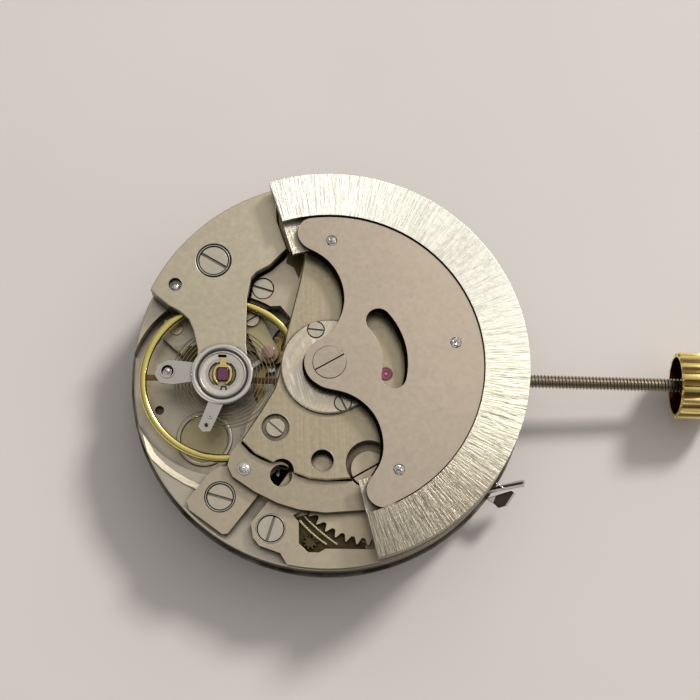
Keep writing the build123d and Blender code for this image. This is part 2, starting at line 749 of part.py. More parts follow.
# Bridges
COCK_ARM_BASE = COCK_TOP - COCK_ARM_T
COCK_TIP_R = 1.85
RIM_ROOM = 0.4
BRIDGE_RIM_ROOM = 0.35
COCK_SCREW_GAP = 0.13

with BuildPart() as cock:
    slab(outline(COCK_SHARES), PLATE_TOP, COCK_TOP)
    disc(CENTRE, CASING_R - GAP, PLATE_TOP, COCK_TOP, Mode.INTERSECT)
    disc(BALANCE, RIM_R + RIM_ROOM, PLATE_TOP - GAP, COCK_ARM_BASE, Mode.SUBTRACT)
    disc(BALANCE, COCK_TIP_R, COCK_ARM_BASE, COCK_TOP)
    disc(BALANCE, SHOCK_HOLE_R, COCK_ARM_BASE - GAP, COCK_TOP + GAP, Mode.SUBTRACT)
    screw_hole(COCK_SCREW, COCK_SCREW_R + COCK_SCREW_GAP, COCK_TOP, SCREW_DEPTH, SHANK_R)
    disc(at(*DOWELS[0]), DOWEL_R + CLEAR, PLATE_TOP - GAP, COCK_TOP + GAP, Mode.SUBTRACT)
cock.part.label = "balance_cock"
export_step(cock.part, "parts/balance_cock.step")

TRAIN_PIVOTS = (GREAT, THIRD, ESCAPE, CENTRE)
RATCHET_WALL_R = RATCHET_R + 0.3
RATCHET_ROOM_R = RATCHET_R + 0.36
TRAIN_SCREW_GAP = 0.12

with BuildPart() as train_bridge:
    slab(outline(TRAIN_BRIDGE_SHARES), PLATE_TOP, BRIDGE_TOP)
    disc(CENTRE, CASING_R - GAP, PLATE_TOP, BRIDGE_TOP, Mode.INTERSECT)
    disc(BALANCE, RIM_R + BRIDGE_RIM_ROOM, PLATE_TOP + LOW_BRIDGE_T, BRIDGE_TOP + GAP, Mode.SUBTRACT)
    disc(BARREL, RATCHET_ROOM_R, PLATE_TOP - GAP, BRIDGE_TOP + GAP, Mode.SUBTRACT)
    for pivot in TRAIN_PIVOTS:
        disc(pivot, JEWEL_R, PLATE_TOP - GAP, BRIDGE_TOP + GAP, Mode.SUBTRACT)
    for place, angle in (BRIDGE_SCREWS[0], BRIDGE_SCREWS[4], BRIDGE_SCREWS[5]):
        screw_hole(at(*place), BRIDGE_SCREW_R + TRAIN_SCREW_GAP, BRIDGE_TOP, SCREW_DEPTH, SHANK_R)
    screw_hole(TRAIN_SCREW, TRAIN_SCREW_R, BRIDGE_TOP, SCREW_DEPTH, SHANK_R)
train_bridge.part.label = "train_bridge"
export_step(train_bridge.part, "parts/train_bridge.step")

WINDING_ROOF = STEM_Z + PINION_R + GAP
CROWN_WHEEL_ROOM = 0.2
CROWN_BOSS_R = 0.62
SMALL_SHANK_R = 0.2
REDUCTION_ROOM_R = 0.8
BARREL_SCREW_GAP = 0.07

with BuildPart() as barrel_bridge:
    slab(outline(BARREL_BRIDGE_SHARES), PLATE_TOP, BRIDGE_TOP)
    disc(BARREL, RATCHET_WALL_R, PLATE_TOP, BRIDGE_TOP)
    disc(CENTRE, CASING_R - GAP, PLATE_TOP, BRIDGE_TOP, Mode.INTERSECT)
    disc(BARREL, RATCHET_WALL_R + CLEAR, RATCHET_Z - GAP, BRIDGE_TOP + GAP, Mode.SUBTRACT)
    slab(outline(CLICK_POCKET_SHARES), RATCHET_Z - GAP, BRIDGE_TOP + GAP, Mode.SUBTRACT)
    disc(CROWN_WHEEL, CROWN_WHEEL_R + CROWN_WHEEL_ROOM, RATCHET_Z - GAP, BRIDGE_TOP + GAP, Mode.SUBTRACT)
    disc(REDUCTION, REDUCTION_ROOM_R, RATCHET_Z - GAP, BRIDGE_TOP + GAP, Mode.SUBTRACT)
    disc(REDUCTION, JEWEL_HOLE_R, PLATE_TOP, BRIDGE_TOP, Mode.SUBTRACT)
    disc(BARREL, BARREL_PIVOT_R + 2 * CLEAR, PLATE_TOP - GAP, BRIDGE_TOP, Mode.SUBTRACT)
    clutch_in = CLUTCH_X - CLUTCH_TRAVEL - GAP
    with Locations(((clutch_in + STEM_SHOULDER_X) / 2, 0, (PLATE_TOP + WINDING_ROOF) / 2)):
        Box(STEM_SHOULDER_X - clutch_in, 2 * PINION_R + 2 * GAP, WINDING_ROOF - PLATE_TOP, mode=Mode.SUBTRACT)
    disc(CROWN_WHEEL, CROWN_BOSS_R, RATCHET_Z - 2 * GAP, BRIDGE_TOP - GAP)
    disc(CROWN_WHEEL, SMALL_SHANK_R + CLEAR, PLATE_TOP - GAP, BRIDGE_TOP, Mode.SUBTRACT)
    with BuildSketch(Plane.YZ.offset(STEM_SHOULDER_X - GAP)) as bore:
        with Locations((0, STEM_Z)):
            Circle(STEM_R + GAP)
    extrude(bore.sketch, amount=CASING_R, mode=Mode.SUBTRACT)
    for place, angle in BRIDGE_SCREWS[1:4]:
        screw_hole(at(*place), BRIDGE_SCREW_R + BARREL_SCREW_GAP, BRIDGE_TOP, SCREW_DEPTH, SHANK_R)
barrel_bridge.part.label = "barrel_bridge"
export_step(barrel_bridge.part, "parts/barrel_bridge.step")

PALLET_FOOT = at(-0.52, 0.36)
PALLET_BRIDGE_W = 1.3
FORK_HEADROOM = 0.25
PALLET_BRIDGE_BASE = ESCAPE_Z + WHEEL_T + FORK_HEADROOM
PALLET_BRIDGE_TOP = PLATE_TOP - 2 * GAP

with BuildPart() as pallet_bridge:
    arm_between(PALLET, PALLET_FOOT, PALLET_BRIDGE_W, PALLET_BRIDGE_BASE, PALLET_BRIDGE_TOP)
    disc(PALLET_FOOT, PALLET_BRIDGE_W / 2, BALANCE_FLOOR, PALLET_BRIDGE_TOP)
    disc(PALLET, JEWEL_R, PALLET_BRIDGE_BASE - GAP, PALLET_BRIDGE_TOP + GAP, Mode.SUBTRACT)
    disc(PALLET_FOOT, SMALL_SHANK_R + CLEAR, BALANCE_FLOOR - GAP, PALLET_BRIDGE_TOP, Mode.SUBTRACT)
pallet_bridge.part.label = "pallet_bridge"
export_step(pallet_bridge.part, "parts/pallet_bridge.step")

AUTO_SCREW_DEPTH = 0.3
AUTO_SHANK_R = 0.25
AUTO_SCREW_GAP = 0.24
ROTOR_PINION_ROOM = 0.2
AUTO_WHEEL_ROOM = 0.14
JEWEL_NOTCH = at(-0.28, -0.68)
DOWEL_NOTCH = at(-0.025, -0.61)
NOTCH_R = 0.76

with BuildPart() as lower_auto:
    slab(outline(LOWER_AUTO_SHARES), LOWER_AUTO_BASE, LOWER_AUTO_TOP)
    disc(CENTRE, ROTOR_PINION_R + ROTOR_PINION_ROOM, AUTO_FLOOR, LOWER_AUTO_TOP + GAP, Mode.SUBTRACT)
    disc(REVERSER, REVERSER_R + AUTO_WHEEL_ROOM, AUTO_FLOOR, LOWER_AUTO_TOP + GAP, Mode.SUBTRACT)
    disc(REDUCTION, REDUCTION_R + AUTO_WHEEL_ROOM, AUTO_FLOOR, LOWER_AUTO_TOP + GAP, Mode.SUBTRACT)
    disc(REDUCTION, ARBOR_R + CLEAR, LOWER_AUTO_BASE - GAP, LOWER_AUTO_TOP, Mode.SUBTRACT)
    disc(REVERSER, JEWEL_HOLE_R, LOWER_AUTO_BASE - GAP, LOWER_AUTO_TOP, Mode.SUBTRACT)
    disc(RATCHET_RECESS, RATCHET_RECESS_R, LOWER_AUTO_BASE - GAP, LOWER_AUTO_TOP + GAP, Mode.SUBTRACT)
    disc(ADJUSTER_HOLE, ADJUSTER_R, LOWER_AUTO_BASE - GAP, LOWER_AUTO_TOP + GAP, Mode.SUBTRACT)
    disc(DOWEL_NOTCH, NOTCH_R, AUTO_FLOOR, LOWER_AUTO_TOP + GAP, Mode.SUBTRACT)
    for place, angle in AUTO_SCREWS:
        disc(at(*place), AUTO_SHANK_R + CLEAR, LOWER_AUTO_BASE, LOWER_AUTO_TOP + GAP, Mode.SUBTRACT)
lower_auto.part.label = "automatic_lower_bridge"
export_step(lower_auto.part, "parts/automatic_lower_bridge.step")

with BuildPart() as auto:
    slab(outline(AUTO_SHARES), LOWER_AUTO_TOP, AUTO_TOP)
    chamfer(auto.faces().sort_by(Axis.Z)[-1].edges(), TOP_BEVEL)
    disc(CENTRE, ROTOR_PINION_R + ROTOR_PINION_ROOM - GAP, LOWER_AUTO_TOP - GAP, AUTO_TOP + GAP,
         Mode.SUBTRACT)
    disc(RATCHET_RECESS, RATCHET_RECESS_R, LOWER_AUTO_TOP - GAP, AUTO_TOP + GAP, Mode.SUBTRACT)
    disc(JEWEL_NOTCH, NOTCH_R, LOWER_AUTO_TOP - GAP, AUTO_TOP + GAP, Mode.SUBTRACT)
    disc(DOWEL_NOTCH, NOTCH_R, LOWER_AUTO_TOP - GAP, AUTO_TOP + GAP, Mode.SUBTRACT)
    disc(REVERSER, AUTO_JEWEL_R, LOWER_AUTO_TOP - GAP, AUTO_TOP + GAP, Mode.SUBTRACT)
    for place, angle in AUTO_SCREWS:
        screw_hole(at(*place), PLATE_SCREW_R + AUTO_SCREW_GAP, AUTO_TOP, AUTO_SCREW_DEPTH, AUTO_SHANK_R)
    for place, angle in COVER_SCREWS:
        disc(at(*place), SMALL_SHANK_R + CLEAR, LOWER_AUTO_TOP, AUTO_TOP + GAP, Mode.SUBTRACT)
auto.part.label = "automatic_bridge"
export_step(auto.part, "parts/automatic_bridge.step")

BEARING_COVER_R = 0.31 * LAYOUT_R
RACE_IN_R = 0.9
COVER_SCREW_DEPTH = 0.18
COVER_HEAD_T = 0.2
COVER_SCREW_L = 0.45
PALLET_SCREW_L = 0.8

with BuildPart() as cover:
    disc(CENTRE, BEARING_COVER_R, AUTO_TOP, COVER_TOP)
    chamfer(cover.faces().sort_by(Axis.Z)[-1].edges(), TOP_BEVEL)
    disc(CENTRE, RACE_IN_R + GAP, AUTO_TOP - GAP, COVER_TOP + GAP, Mode.SUBTRACT)
    for place, angle in COVER_SCREWS:
        screw_hole(at(*place), COVER_SCREW_R, COVER_TOP, COVER_SCREW_DEPTH, SMALL_SHANK_R)
cover.part.label = "bearing_cover"
export_step(cover.part, "parts/bearing_cover.step")

# Fasteners, dowels and jewels
COCK_SCREW_L = 2.2
AUTO_HEAD_T = 0.26
AUTO_SCREW_L = 0.6
CROWN_HEAD_T = 0.04
CROWN_SCREW_L = 0.3
DOWEL_SINK = 0.35

with BuildPart() as bridge_screws:
    for place, angle in BRIDGE_SCREWS:
        screw(at(*place), BRIDGE_SCREW_R, BRIDGE_TOP - SCREW_DEPTH, HEAD_T, SHANK_R, SCREW_REACH, angle)
    screw(COCK_SCREW, COCK_SCREW_R, COCK_TOP - SCREW_DEPTH, HEAD_T, SHANK_R, COCK_SCREW_L, -29)
bridge_screws.part.label = "bridge_screws"
export_step(bridge_screws.part, "parts/bridge_screws.step")

with BuildPart() as auto_screws:
    for place, angle in AUTO_SCREWS:
        screw(at(*place), PLATE_SCREW_R, AUTO_TOP - AUTO_SCREW_DEPTH, AUTO_HEAD_T, AUTO_SHANK_R,
              AUTO_SCREW_L, angle)
    screw(TRAIN_SCREW, TRAIN_SCREW_R, BRIDGE_TOP - SCREW_DEPTH, HEAD_T, SHANK_R, SCREW_REACH, -16)
auto_screws.part.label = "automatic_screws"
export_step(auto_screws.part, "parts/automatic_screws.step")

with BuildPart() as cover_screws:
    for place, angle in COVER_SCREWS:
        screw(at(*place), COVER_SCREW_R, COVER_TOP - COVER_SCREW_DEPTH, COVER_HEAD_T, SMALL_SHANK_R,
              COVER_SCREW_L, angle)
    screw(PALLET_FOOT, COVER_SCREW_R, PALLET_BRIDGE_TOP, COVER_HEAD_T, SMALL_SHANK_R, PALLET_SCREW_L, 35)
    screw(CROWN_WHEEL, CROWN_BOSS_R - CLEAR, BRIDGE_TOP - GAP, CROWN_HEAD_T, SMALL_SHANK_R,
          CROWN_SCREW_L, 20)
cover_screws.part.label = "cover_screws"
export_step(cover_screws.part, "parts/cover_screws.step")

with BuildPart() as dowels:
    disc(at(*DOWELS[0]), DOWEL_R, TRAIN_FLOOR, COCK_TOP - DOWEL_SINK)
    disc(at(*DOWELS[1]), DOWEL_R, LOWER_AUTO_TOP, LOWER_AUTO_TOP + GAP)
    disc(at(*DOWELS[2]), DOWEL_R, BALANCE_FLOOR, BALANCE_FLOOR + PIN_H)
dowels.part.label = "dowels"
export_step(dowels.part, "parts/dowels.step")


def jewel(centre, low, high, radius=JEWEL_R):
    ring(centre, JEWEL_HOLE_R, radius - CLEAR / 2, low, high)


with BuildPart() as jewels:
    for pivot in TRAIN_PIVOTS:
        jewel(pivot, PLATE_TOP, PLATE_TOP + PIVOT_END)
    for pivot in (THIRD, ESCAPE, PALLET):
        jewel(pivot, DIAL_RECESS_T + CLEAR, TRAIN_FLOOR - CLEAR)
    jewel(PALLET, PALLET_BRIDGE_BASE + CLEAR, PALLET_BRIDGE_TOP - CLEAR)
    jewel(REVERSER, LOWER_AUTO_TOP + CLEAR, AUTO_TOP - CLEAR, AUTO_JEWEL_R)
jewels.part.label = "jewels"
export_step(jewels.part, "parts/jewels.step")

# Barrel
DRUM_WALL = 0.22

with BuildPart() as drum:
    gear(BARREL, BARREL_TEETH, BARREL_R, BARREL_BASE, BARREL_BASE + DRUM_TOOTH_T)
    disc(BARREL, DRUM_R, BARREL_BASE, BARREL_BASE + BARREL_T)
    disc(BARREL, DRUM_R - DRUM_WALL, BARREL_BASE + BARREL_COVER_T, BARREL_TOP, Mode.SUBTRACT)
    disc(BARREL, BARREL_PIVOT_R + GAP, BARREL_BASE, BARREL_TOP, Mode.SUBTRACT)
drum.part.label = "barrel_drum"
export_step(drum.part, "parts/barrel_drum.step")

with BuildPart() as barrel_cover:
    ring(BARREL, BARREL_PIVOT_R + GAP, DRUM_R, BARREL_BASE + BARREL_T, BARREL_TOP)
barrel_cover.part.label = "barrel_cover"
export_step(barrel_cover.part, "parts/barrel_cover.step")

CORE_R = 0.11 * LAYOUT_R
COIL_ROOM = 0.3
SQUARE_R = 0.45
RATCHET_SCREW_BORE_R = 0.27
MAINSPRING_T = 0.12
MAINSPRING_PITCH = 0.036 * LAYOUT_R
MAINSPRING_HALF_TURNS = 15

with BuildPart() as mainspring:
    spiral(BARREL, CORE_R + COIL_ROOM, MAINSPRING_PITCH, MAINSPRING_HALF_TURNS, MAINSPRING_T,
           BARREL_BASE + BARREL_COVER_T + GAP, BARREL_BASE + BARREL_T - GAP)
mainspring.part.label = "mainspring"
export_step(mainspring.part, "parts/mainspring.step")

with BuildPart() as arbor:
    disc(BARREL, BARREL_PIVOT_R, DIAL_RECESS_T + GAP, RATCHET_Z - CLEAR)
    disc(BARREL, CORE_R, BARREL_BASE + BARREL_COVER_T + GAP, BARREL_BASE + BARREL_T - GAP)
    disc(BARREL, SQUARE_R, RATCHET_Z - GAP, RATCHET_Z + RATCHET_T)
    disc(BARREL, RATCHET_SCREW_BORE_R, BARREL_TOP, RATCHET_Z + RATCHET_T + GAP, Mode.SUBTRACT)
arbor.part.label = "barrel_arbor"
export_step(arbor.part, "parts/barrel_arbor.step")

RATCHET_SCREW_R = 1.15
RATCHET_HEAD_T = 0.36
RATCHET_SCREW_L = 0.8

with BuildPart() as ratchet:
    gear(BARREL, RATCHET_TEETH, RATCHET_R, RATCHET_Z, RATCHET_Z + RATCHET_T)
    disc(BARREL, SQUARE_R + CLEAR, RATCHET_Z - GAP, RATCHET_Z + RATCHET_T + GAP, Mode.SUBTRACT)
ratchet.part.label = "ratchet_wheel"
export_step(ratchet.part, "parts/ratchet_wheel.step")

with BuildPart() as ratchet_screw:
    screw(BARREL, RATCHET_SCREW_R, RATCHET_Z + RATCHET_T, RATCHET_HEAD_T, RATCHET_SCREW_BORE_R - CLEAR,
          RATCHET_SCREW_L, 30)
ratchet_screw.part.label = "ratchet_screw"
export_step(ratchet_screw.part, "parts/ratchet_screw.step")

# Going train
SECOND_DRIVE_TEETH = 48
DRIVE_R = distance(CENTRE, GREAT) / 2
WHEEL_HUB_R = 0.5
WHEEL_ARM_W = 0.28
PINION_PROUD = 0.1


def arbor_of(centre, low, high):
    """An arbor with a thinner pivot at each end."""
    disc(centre, PIVOT_R, low, high)
    disc(centre, ARBOR_R, low + PIVOT_END + CLEAR, high - PIVOT_END - CLEAR)


with BuildPart() as great:
    disc(GREAT, GREAT_ARBOR_R, CANNON_DRIVE_Z, GREAT_Z + WHEEL_T)
    disc(GREAT, PIVOT_R, GREAT_Z, PLATE_TOP + PIVOT_END)
    gear(GREAT, SECOND_DRIVE_TEETH, DRIVE_R, CANNON_DRIVE_Z, CANNON_DRIVE_Z + CANNON_DRIVE_T)
    gear(GREAT, GREAT_PINION_TEETH, GREAT_PINION_R, BARREL_BASE,
         BARREL_BASE + DRUM_TOOTH_T + PINION_PROUD)
    gear(GREAT, GREAT_TEETH, GREAT_R, GREAT_Z, GREAT_Z + WHEEL_T)
    windows(GREAT, WHEEL_HUB_R, 0.8 * GREAT_R, 4, WHEEL_ARM_W, GREAT_Z - GAP, GREAT_Z + WHEEL_T + GAP)
great.part.label = "great_wheel"
export_step(great.part, "parts/great_wheel.step")

with BuildPart() as third:
    arbor_of(THIRD, DIAL_RECESS_T + GAP, PLATE_TOP + PIVOT_END)
    gear(THIRD, THIRD_PINION_TEETH, THIRD_PINION_R, FOURTH_Z + WHEEL_T + CLEAR, PLATE_TOP - GAP)
    gear(THIRD, THIRD_TEETH, THIRD_R, THIRD_Z, THIRD_Z + WHEEL_T)
    windows(THIRD, WHEEL_HUB_R, 0.8 * THIRD_R, 4, WHEEL_ARM_W, THIRD_Z - GAP, THIRD_Z + WHEEL_T + GAP, 20)
third.part.label = "third_wheel"
export_step(third.part, "parts/third_wheel.step")

with BuildPart() as fourth:
    disc(CENTRE, PIVOT_R, SECONDS_TIP, PLATE_TOP + PIVOT_END)
    disc(CENTRE, SECONDS_ARBOR_R, MINUTE_TIP, TRAIN_FLOOR + GAP)
    disc(CENTRE, ARBOR_R, TRAIN_FLOOR + GAP, PLATE_TOP - GAP)
    gear(CENTRE, FOURTH_PINION_TEETH, FOURTH_PINION_R, THIRD_Z - GAP, THIRD_Z + WHEEL_T + GAP)
    gear(CENTRE, FOURTH_TEETH, FOURTH_R, FOURTH_Z, FOURTH_Z + WHEEL_T)
    windows(CENTRE, WHEEL_HUB_R, 0.8 * FOURTH_R, 4, WHEEL_ARM_W, FOURTH_Z - GAP,
            FOURTH_Z + WHEEL_T + GAP, 35)
fourth.part.label = "fourth_wheel"
export_step(fourth.part, "parts/fourth_wheel.step")

with BuildPart() as escape:
    arbor_of(ESCAPE, DIAL_RECESS_T + GAP, PLATE_TOP + PIVOT_END)
    gear(ESCAPE, ESCAPE_PINION_TEETH, ESCAPE_PINION_R, FOURTH_Z - GAP, FOURTH_Z + WHEEL_T + PINION_PROUD)
    hooked_gear(ESCAPE, ESCAPE_TEETH, ESCAPE_R, 0.82 * ESCAPE_R, ESCAPE_Z, ESCAPE_Z + WHEEL_T)
    windows(ESCAPE, 0.8 * WHEEL_HUB_R, 0.7 * ESCAPE_R, 4, 0.8 * WHEEL_ARM_W, ESCAPE_Z - GAP,
            ESCAPE_Z + WHEEL_T + GAP, 10)
escape.part.label = "escape_wheel"
export_step(escape.part, "parts/escape_wheel.step")

PALLET_Z = ESCAPE_Z
IMPULSE_REACH = 0.85
IMPULSE_R = 0.07
PALLET_LEVER = distance(PALLET, BALANCE) - IMPULSE_REACH
PALLET_ARBOR_R = 0.15
PALLET_ARM_W = 0.26
STONE_ARM_REACH = 0.38
FORK_NOTCH_L = 0.5
FORK_NOTCH_W = 0.18
STONE_SPREAD = 45
STONE_L, STONE_W, STONE_T = 0.35, 0.13, 0.16


def stone_place(side, clearance):
    """A point on a pallet stone's axis, at a distance outside the escape wheel's teeth."""
    return around(ESCAPE, ESCAPE_R + clearance, bearing(ESCAPE, PALLET) + side * STONE_SPREAD / 2)


with BuildPart() as fork:
    disc(PALLET, PIVOT_R, DIAL_RECESS_T + GAP, PALLET_BRIDGE_TOP - CLEAR)
    disc(PALLET, PALLET_ARBOR_R, TRAIN_FLOOR, PALLET_BRIDGE_BASE - CLEAR)
    arm_between(PALLET, around(PALLET, PALLET_LEVER, bearing(PALLET, BALANCE)), PALLET_ARM_W,
                PALLET_Z, PALLET_Z + WHEEL_T)
    for side in (-1, 1):
        arm_between(PALLET, stone_place(side, STONE_ARM_REACH), PALLET_ARM_W, PALLET_Z, PALLET_Z + WHEEL_T)
        disc(stone_place(side, STONE_ARM_REACH), PALLET_ARM_W, PALLET_Z, PALLET_Z + WHEEL_T)
    for side in (-1, 1):
        seat = stone_place(side, GAP + STONE_L / 2)
        with Locations(Location((*seat, PALLET_Z + WHEEL_T / 2), (0, 0, bearing(ESCAPE, seat)))):
            Box(STONE_L + CLEAR, STONE_W + CLEAR, 2 * WHEEL_T, mode=Mode.SUBTRACT)
    notch = around(PALLET, PALLET_LEVER, bearing(PALLET, BALANCE))
    with Locations(Location((*notch, PALLET_Z + WHEEL_T / 2), (0, 0, bearing(PALLET, BALANCE)))):
        Box(FORK_NOTCH_L, FORK_NOTCH_W, 2 * WHEEL_T, mode=Mode.SUBTRACT)
fork.part.label = "pallet_fork"
export_step(fork.part, "parts/pallet_fork.step")

with BuildPart() as stones:
    for side in (-1, 1):
        seat = stone_place(side, GAP + STONE_L / 2)
        with Locations(Location((*seat, PALLET_Z + WHEEL_T / 2), (0, 0, bearing(ESCAPE, seat)))):
            Box(STONE_L, STONE_W, STONE_T)
stones.part.label = "pallet_stones"
export_step(stones.part, "parts/pallet_stones.step")

# Balance
RIM_ARM_LIFT = 0.1
RIM_ARM_Z = RIM_Z + RIM_ARM_LIFT
RIM_ARM_T = 0.15
RIM_ARM_W = 0.36
RIM_HUB_R = 0.8

with BuildPart() as balance:
    ring(BALANCE, RIM_R - RIM_W, RIM_R, RIM_Z, RIM_Z + RIM_T)
    arm_between((BALANCE[0] - RIM_R + RIM_W, BALANCE[1]), (BALANCE[0] + RIM_R - RIM_W, BALANCE[1]),
                RIM_ARM_W, RIM_ARM_Z, RIM_ARM_Z + RIM_ARM_T)
    disc(BALANCE, RIM_HUB_R, RIM_ARM_Z, RIM_ARM_Z + RIM_ARM_T)
    disc(BALANCE, STAFF_R + CLEAR, RIM_Z, RIM_Z + RIM_T, Mode.SUBTRACT)
balance.part.label = "balance_wheel"
export_step(balance.part, "parts/balance_wheel.step")

STAFF_LIFT = 0.45
STAFF_DROP = 0.1
STAFF_LOW = DIAL_RECESS_T + STAFF_LIFT
STAFF_HIGH = COCK_TOP - STAFF_DROP
STAFF_NECK_R = 0.2
COLLET_R = 0.5
COLLET_T = 0.35
ROLLER_GAP = 0.08
ROLLER_Z = PALLET_Z + WHEEL_T + ROLLER_GAP

with BuildPart() as staff:
    disc(BALANCE, PIVOT_R, STAFF_LOW, STAFF_HIGH)
    disc(BALANCE, STAFF_R, ROLLER_Z, COCK_ARM_BASE - GAP)
    disc(BALANCE, STAFF_NECK_R, STAFF_LOW + PIVOT_END, STAFF_HIGH - PIVOT_END)
    disc(BALANCE, COLLET_R, RIM_ARM_Z + RIM_ARM_T, RIM_ARM_Z + RIM_ARM_T + COLLET_T)
    disc(BALANCE, ROLLER_R, ROLLER_Z, ROLLER_Z + WHEEL_T)
    disc(around(BALANCE, IMPULSE_REACH, bearing(BALANCE, PALLET)), IMPULSE_R, PALLET_Z, ROLLER_Z + GAP)
staff.part.label = "balance_staff"
export_step(staff.part, "parts/balance_staff.step")

HAIRSPRING_LIFT = 0.18
HAIRSPRING_Z = RIM_ARM_Z + RIM_ARM_T + HAIRSPRING_LIFT
HAIRSPRING_OUT_R = HAIRSPRING_IN_R + (HAIRSPRING_HALF_TURNS - 1) * HAIRSPRING_PITCH / 2

with BuildPart() as hairspring:
    spiral(BALANCE, HAIRSPRING_IN_R, HAIRSPRING_PITCH, HAIRSPRING_HALF_TURNS, HAIRSPRING_T,
           HAIRSPRING_Z, HAIRSPRING_Z + HAIRSPRING_H)
hairspring.part.label = "hairspring"
export_step(hairspring.part, "parts/hairspring.step")

SHOCK_CUP_R = 0.83
SHOCK_T = 0.3
SHOCK_CUP_DEPTH = 0.2
SHOCK_BORE_R = 0.3
LYRE_T = 0.08
LYRE_IN_R = 0.5
LYRE_W = 0.2
LYRE_TURN = 20

with BuildPart() as shock_blocks:
    disc(BALANCE, SHOCK_HOLE_R - CLEAR, COCK_ARM_BASE + GAP, COCK_TOP + GAP)
    disc(BALANCE, SHOCK_R, COCK_TOP, COCK_TOP + SHOCK_T)
    disc(BALANCE, SHOCK_CUP_R, COCK_TOP + SHOCK_T - SHOCK_CUP_DEPTH, COCK_TOP + SHOCK_T + GAP,
         Mode.SUBTRACT)
    disc(BALANCE, SHOCK_BORE_R, COCK_ARM_BASE, COCK_TOP + SHOCK_T + GAP, Mode.SUBTRACT)
    disc(BALANCE, SHOCK_HOLE_R - CLEAR, DIAL_RECESS_T + GAP, BALANCE_FLOOR)
    disc(BALANCE, SHOCK_BORE_R, STAFF_LOW, BALANCE_FLOOR + GAP, Mode.SUBTRACT)
shock_blocks.part.label = "shock_blocks"
export_step(shock_blocks.part, "parts/shock_blocks.step")

LYRE_Z = COCK_TOP + SHOCK_T - SHOCK_CUP_DEPTH + CLEAR

with BuildPart() as shock_springs:
    ring(BALANCE, LYRE_IN_R, SHOCK_CUP_R - GAP, LYRE_Z, LYRE_Z + LYRE_T)
    for side in (-1, 1):
        root = around(BALANCE, LYRE_IN_R + LYRE_W / 2, 90 * side + LYRE_TURN)
        tip = around(BALANCE, LYRE_IN_R - LYRE_W, 90 * side + LYRE_TURN)
        arm_between(root, tip, LYRE_W, LYRE_Z, LYRE_Z + LYRE_T)
shock_springs.part.label = "shock_springs"
export_step(shock_springs.part, "parts/shock_springs.step")

STUD_CARRIER_Z = COCK_TOP + CLEAR
STUD_CARRIER_T = 0.15
REGULATOR_Z = STUD_CARRIER_Z + STUD_CARRIER_T + CLEAR
STUD_ARM = (
    (-0.845, 0.005),
    (-1.03, 0.02),
    (-1.1, -0.02),
    (-1.115, -0.08),
    (-1.08, -0.135),
    (-1.0, -0.145),
    (-0.86, -0.12),
)
STUD_R = 0.3
STUD_PROUD = 0.06
STUD = (BALANCE[0] - HAIRSPRING_OUT_R - 0.53 * STUD_R, BALANCE[1])

with BuildPart() as stud_carrier:
    slab(outline(STUD_ARM), STUD_CARRIER_Z, STUD_CARRIER_Z + STUD_CARRIER_T)
    disc(BALANCE, REGULATOR_R - GAP, STUD_CARRIER_Z, STUD_CARRIER_Z + STUD_CARRIER_T)
    disc(BALANCE, SHOCK_R + CLEAR, STUD_CARRIER_Z - GAP, REGULATOR_Z, Mode.SUBTRACT)
    disc(STUD, STUD_R, HAIRSPRING_Z - GAP, STUD_CARRIER_Z + STUD_CARRIER_T + STUD_PROUD)
stud_carrier.part.label = "stud_carrier"
export_step(stud_carrier.part, "parts/stud_carrier.step")

REGULATOR_ARM = (
    (-0.75, -0.22),
    (-0.817, -0.417),
    (-0.787, -0.45),
    (-0.74, -0.446),
    (-0.72, -0.4),
    (-0.66, -0.25),
)
REGULATOR_PINS = ((-0.746, -0.354), (-0.767, -0.408))
REGULATOR_PIN_R = 0.07

with BuildPart() as regulator:
    slab(outline(REGULATOR_ARM), REGULATOR_Z, REGULATOR_Z + REGULATOR_T)
    disc(BALANCE, REGULATOR_R, REGULATOR_Z, REGULATOR_Z + REGULATOR_T)
    disc(BALANCE, SHOCK_R + CLEAR, REGULATOR_Z - GAP, REGULATOR_Z + REGULATOR_T + GAP, Mode.SUBTRACT)
    for place in REGULATOR_PINS:
        disc(at(*place), REGULATOR_PIN_R, HAIRSPRING_Z - GAP, REGULATOR_Z + REGULATOR_T + CLEAR)
regulator.part.label = "regulator"
export_step(regulator.part, "parts/regulator.step")

# Winding and setting
CLUTCH_TEETH = 14
CLUTCH_NECK_R = 0.52


def rod(radius, start, end, mode=Mode.ADD):
    """A round bar along the stem's axis."""
    with BuildSketch(Plane.YZ.offset(start)) as face:
        with Locations((0, STEM_Z)):
            Circle(radius)
    extrude(face.sketch, amount=end - start, mode=mode)


def rod_gear(teeth, tip, root, start, end):
    points = []
    for tooth in range(teeth):
        for share, radius in ((0.05, root), (0.2, tip), (0.35, tip), (0.5, root)):
            angle = 2 * pi * (tooth + share) / teeth
            points.append((radius * cos(angle), STEM_Z + radius * sin(angle)))
    with BuildSketch(Plane.YZ.offset(start)) as face:
        with BuildLine():
            Polyline(*points, close=True)
        make_face()
    extrude(face.sketch, amount=end - start)


with BuildPart() as winding_pinion:
    rod_gear(WINDING_PINION_TEETH, PINION_R, 0.84 * PINION_R, PINION_X, PINION_X + PINION_L)
    rod(STEM_CORE_R + CLEAR, PINION_X - GAP, PINION_X + PINION_L + GAP, Mode.SUBTRACT)
winding_pinion.part.label = "winding_pinion"
export_step(winding_pinion.part, "parts/winding_pinion.step")

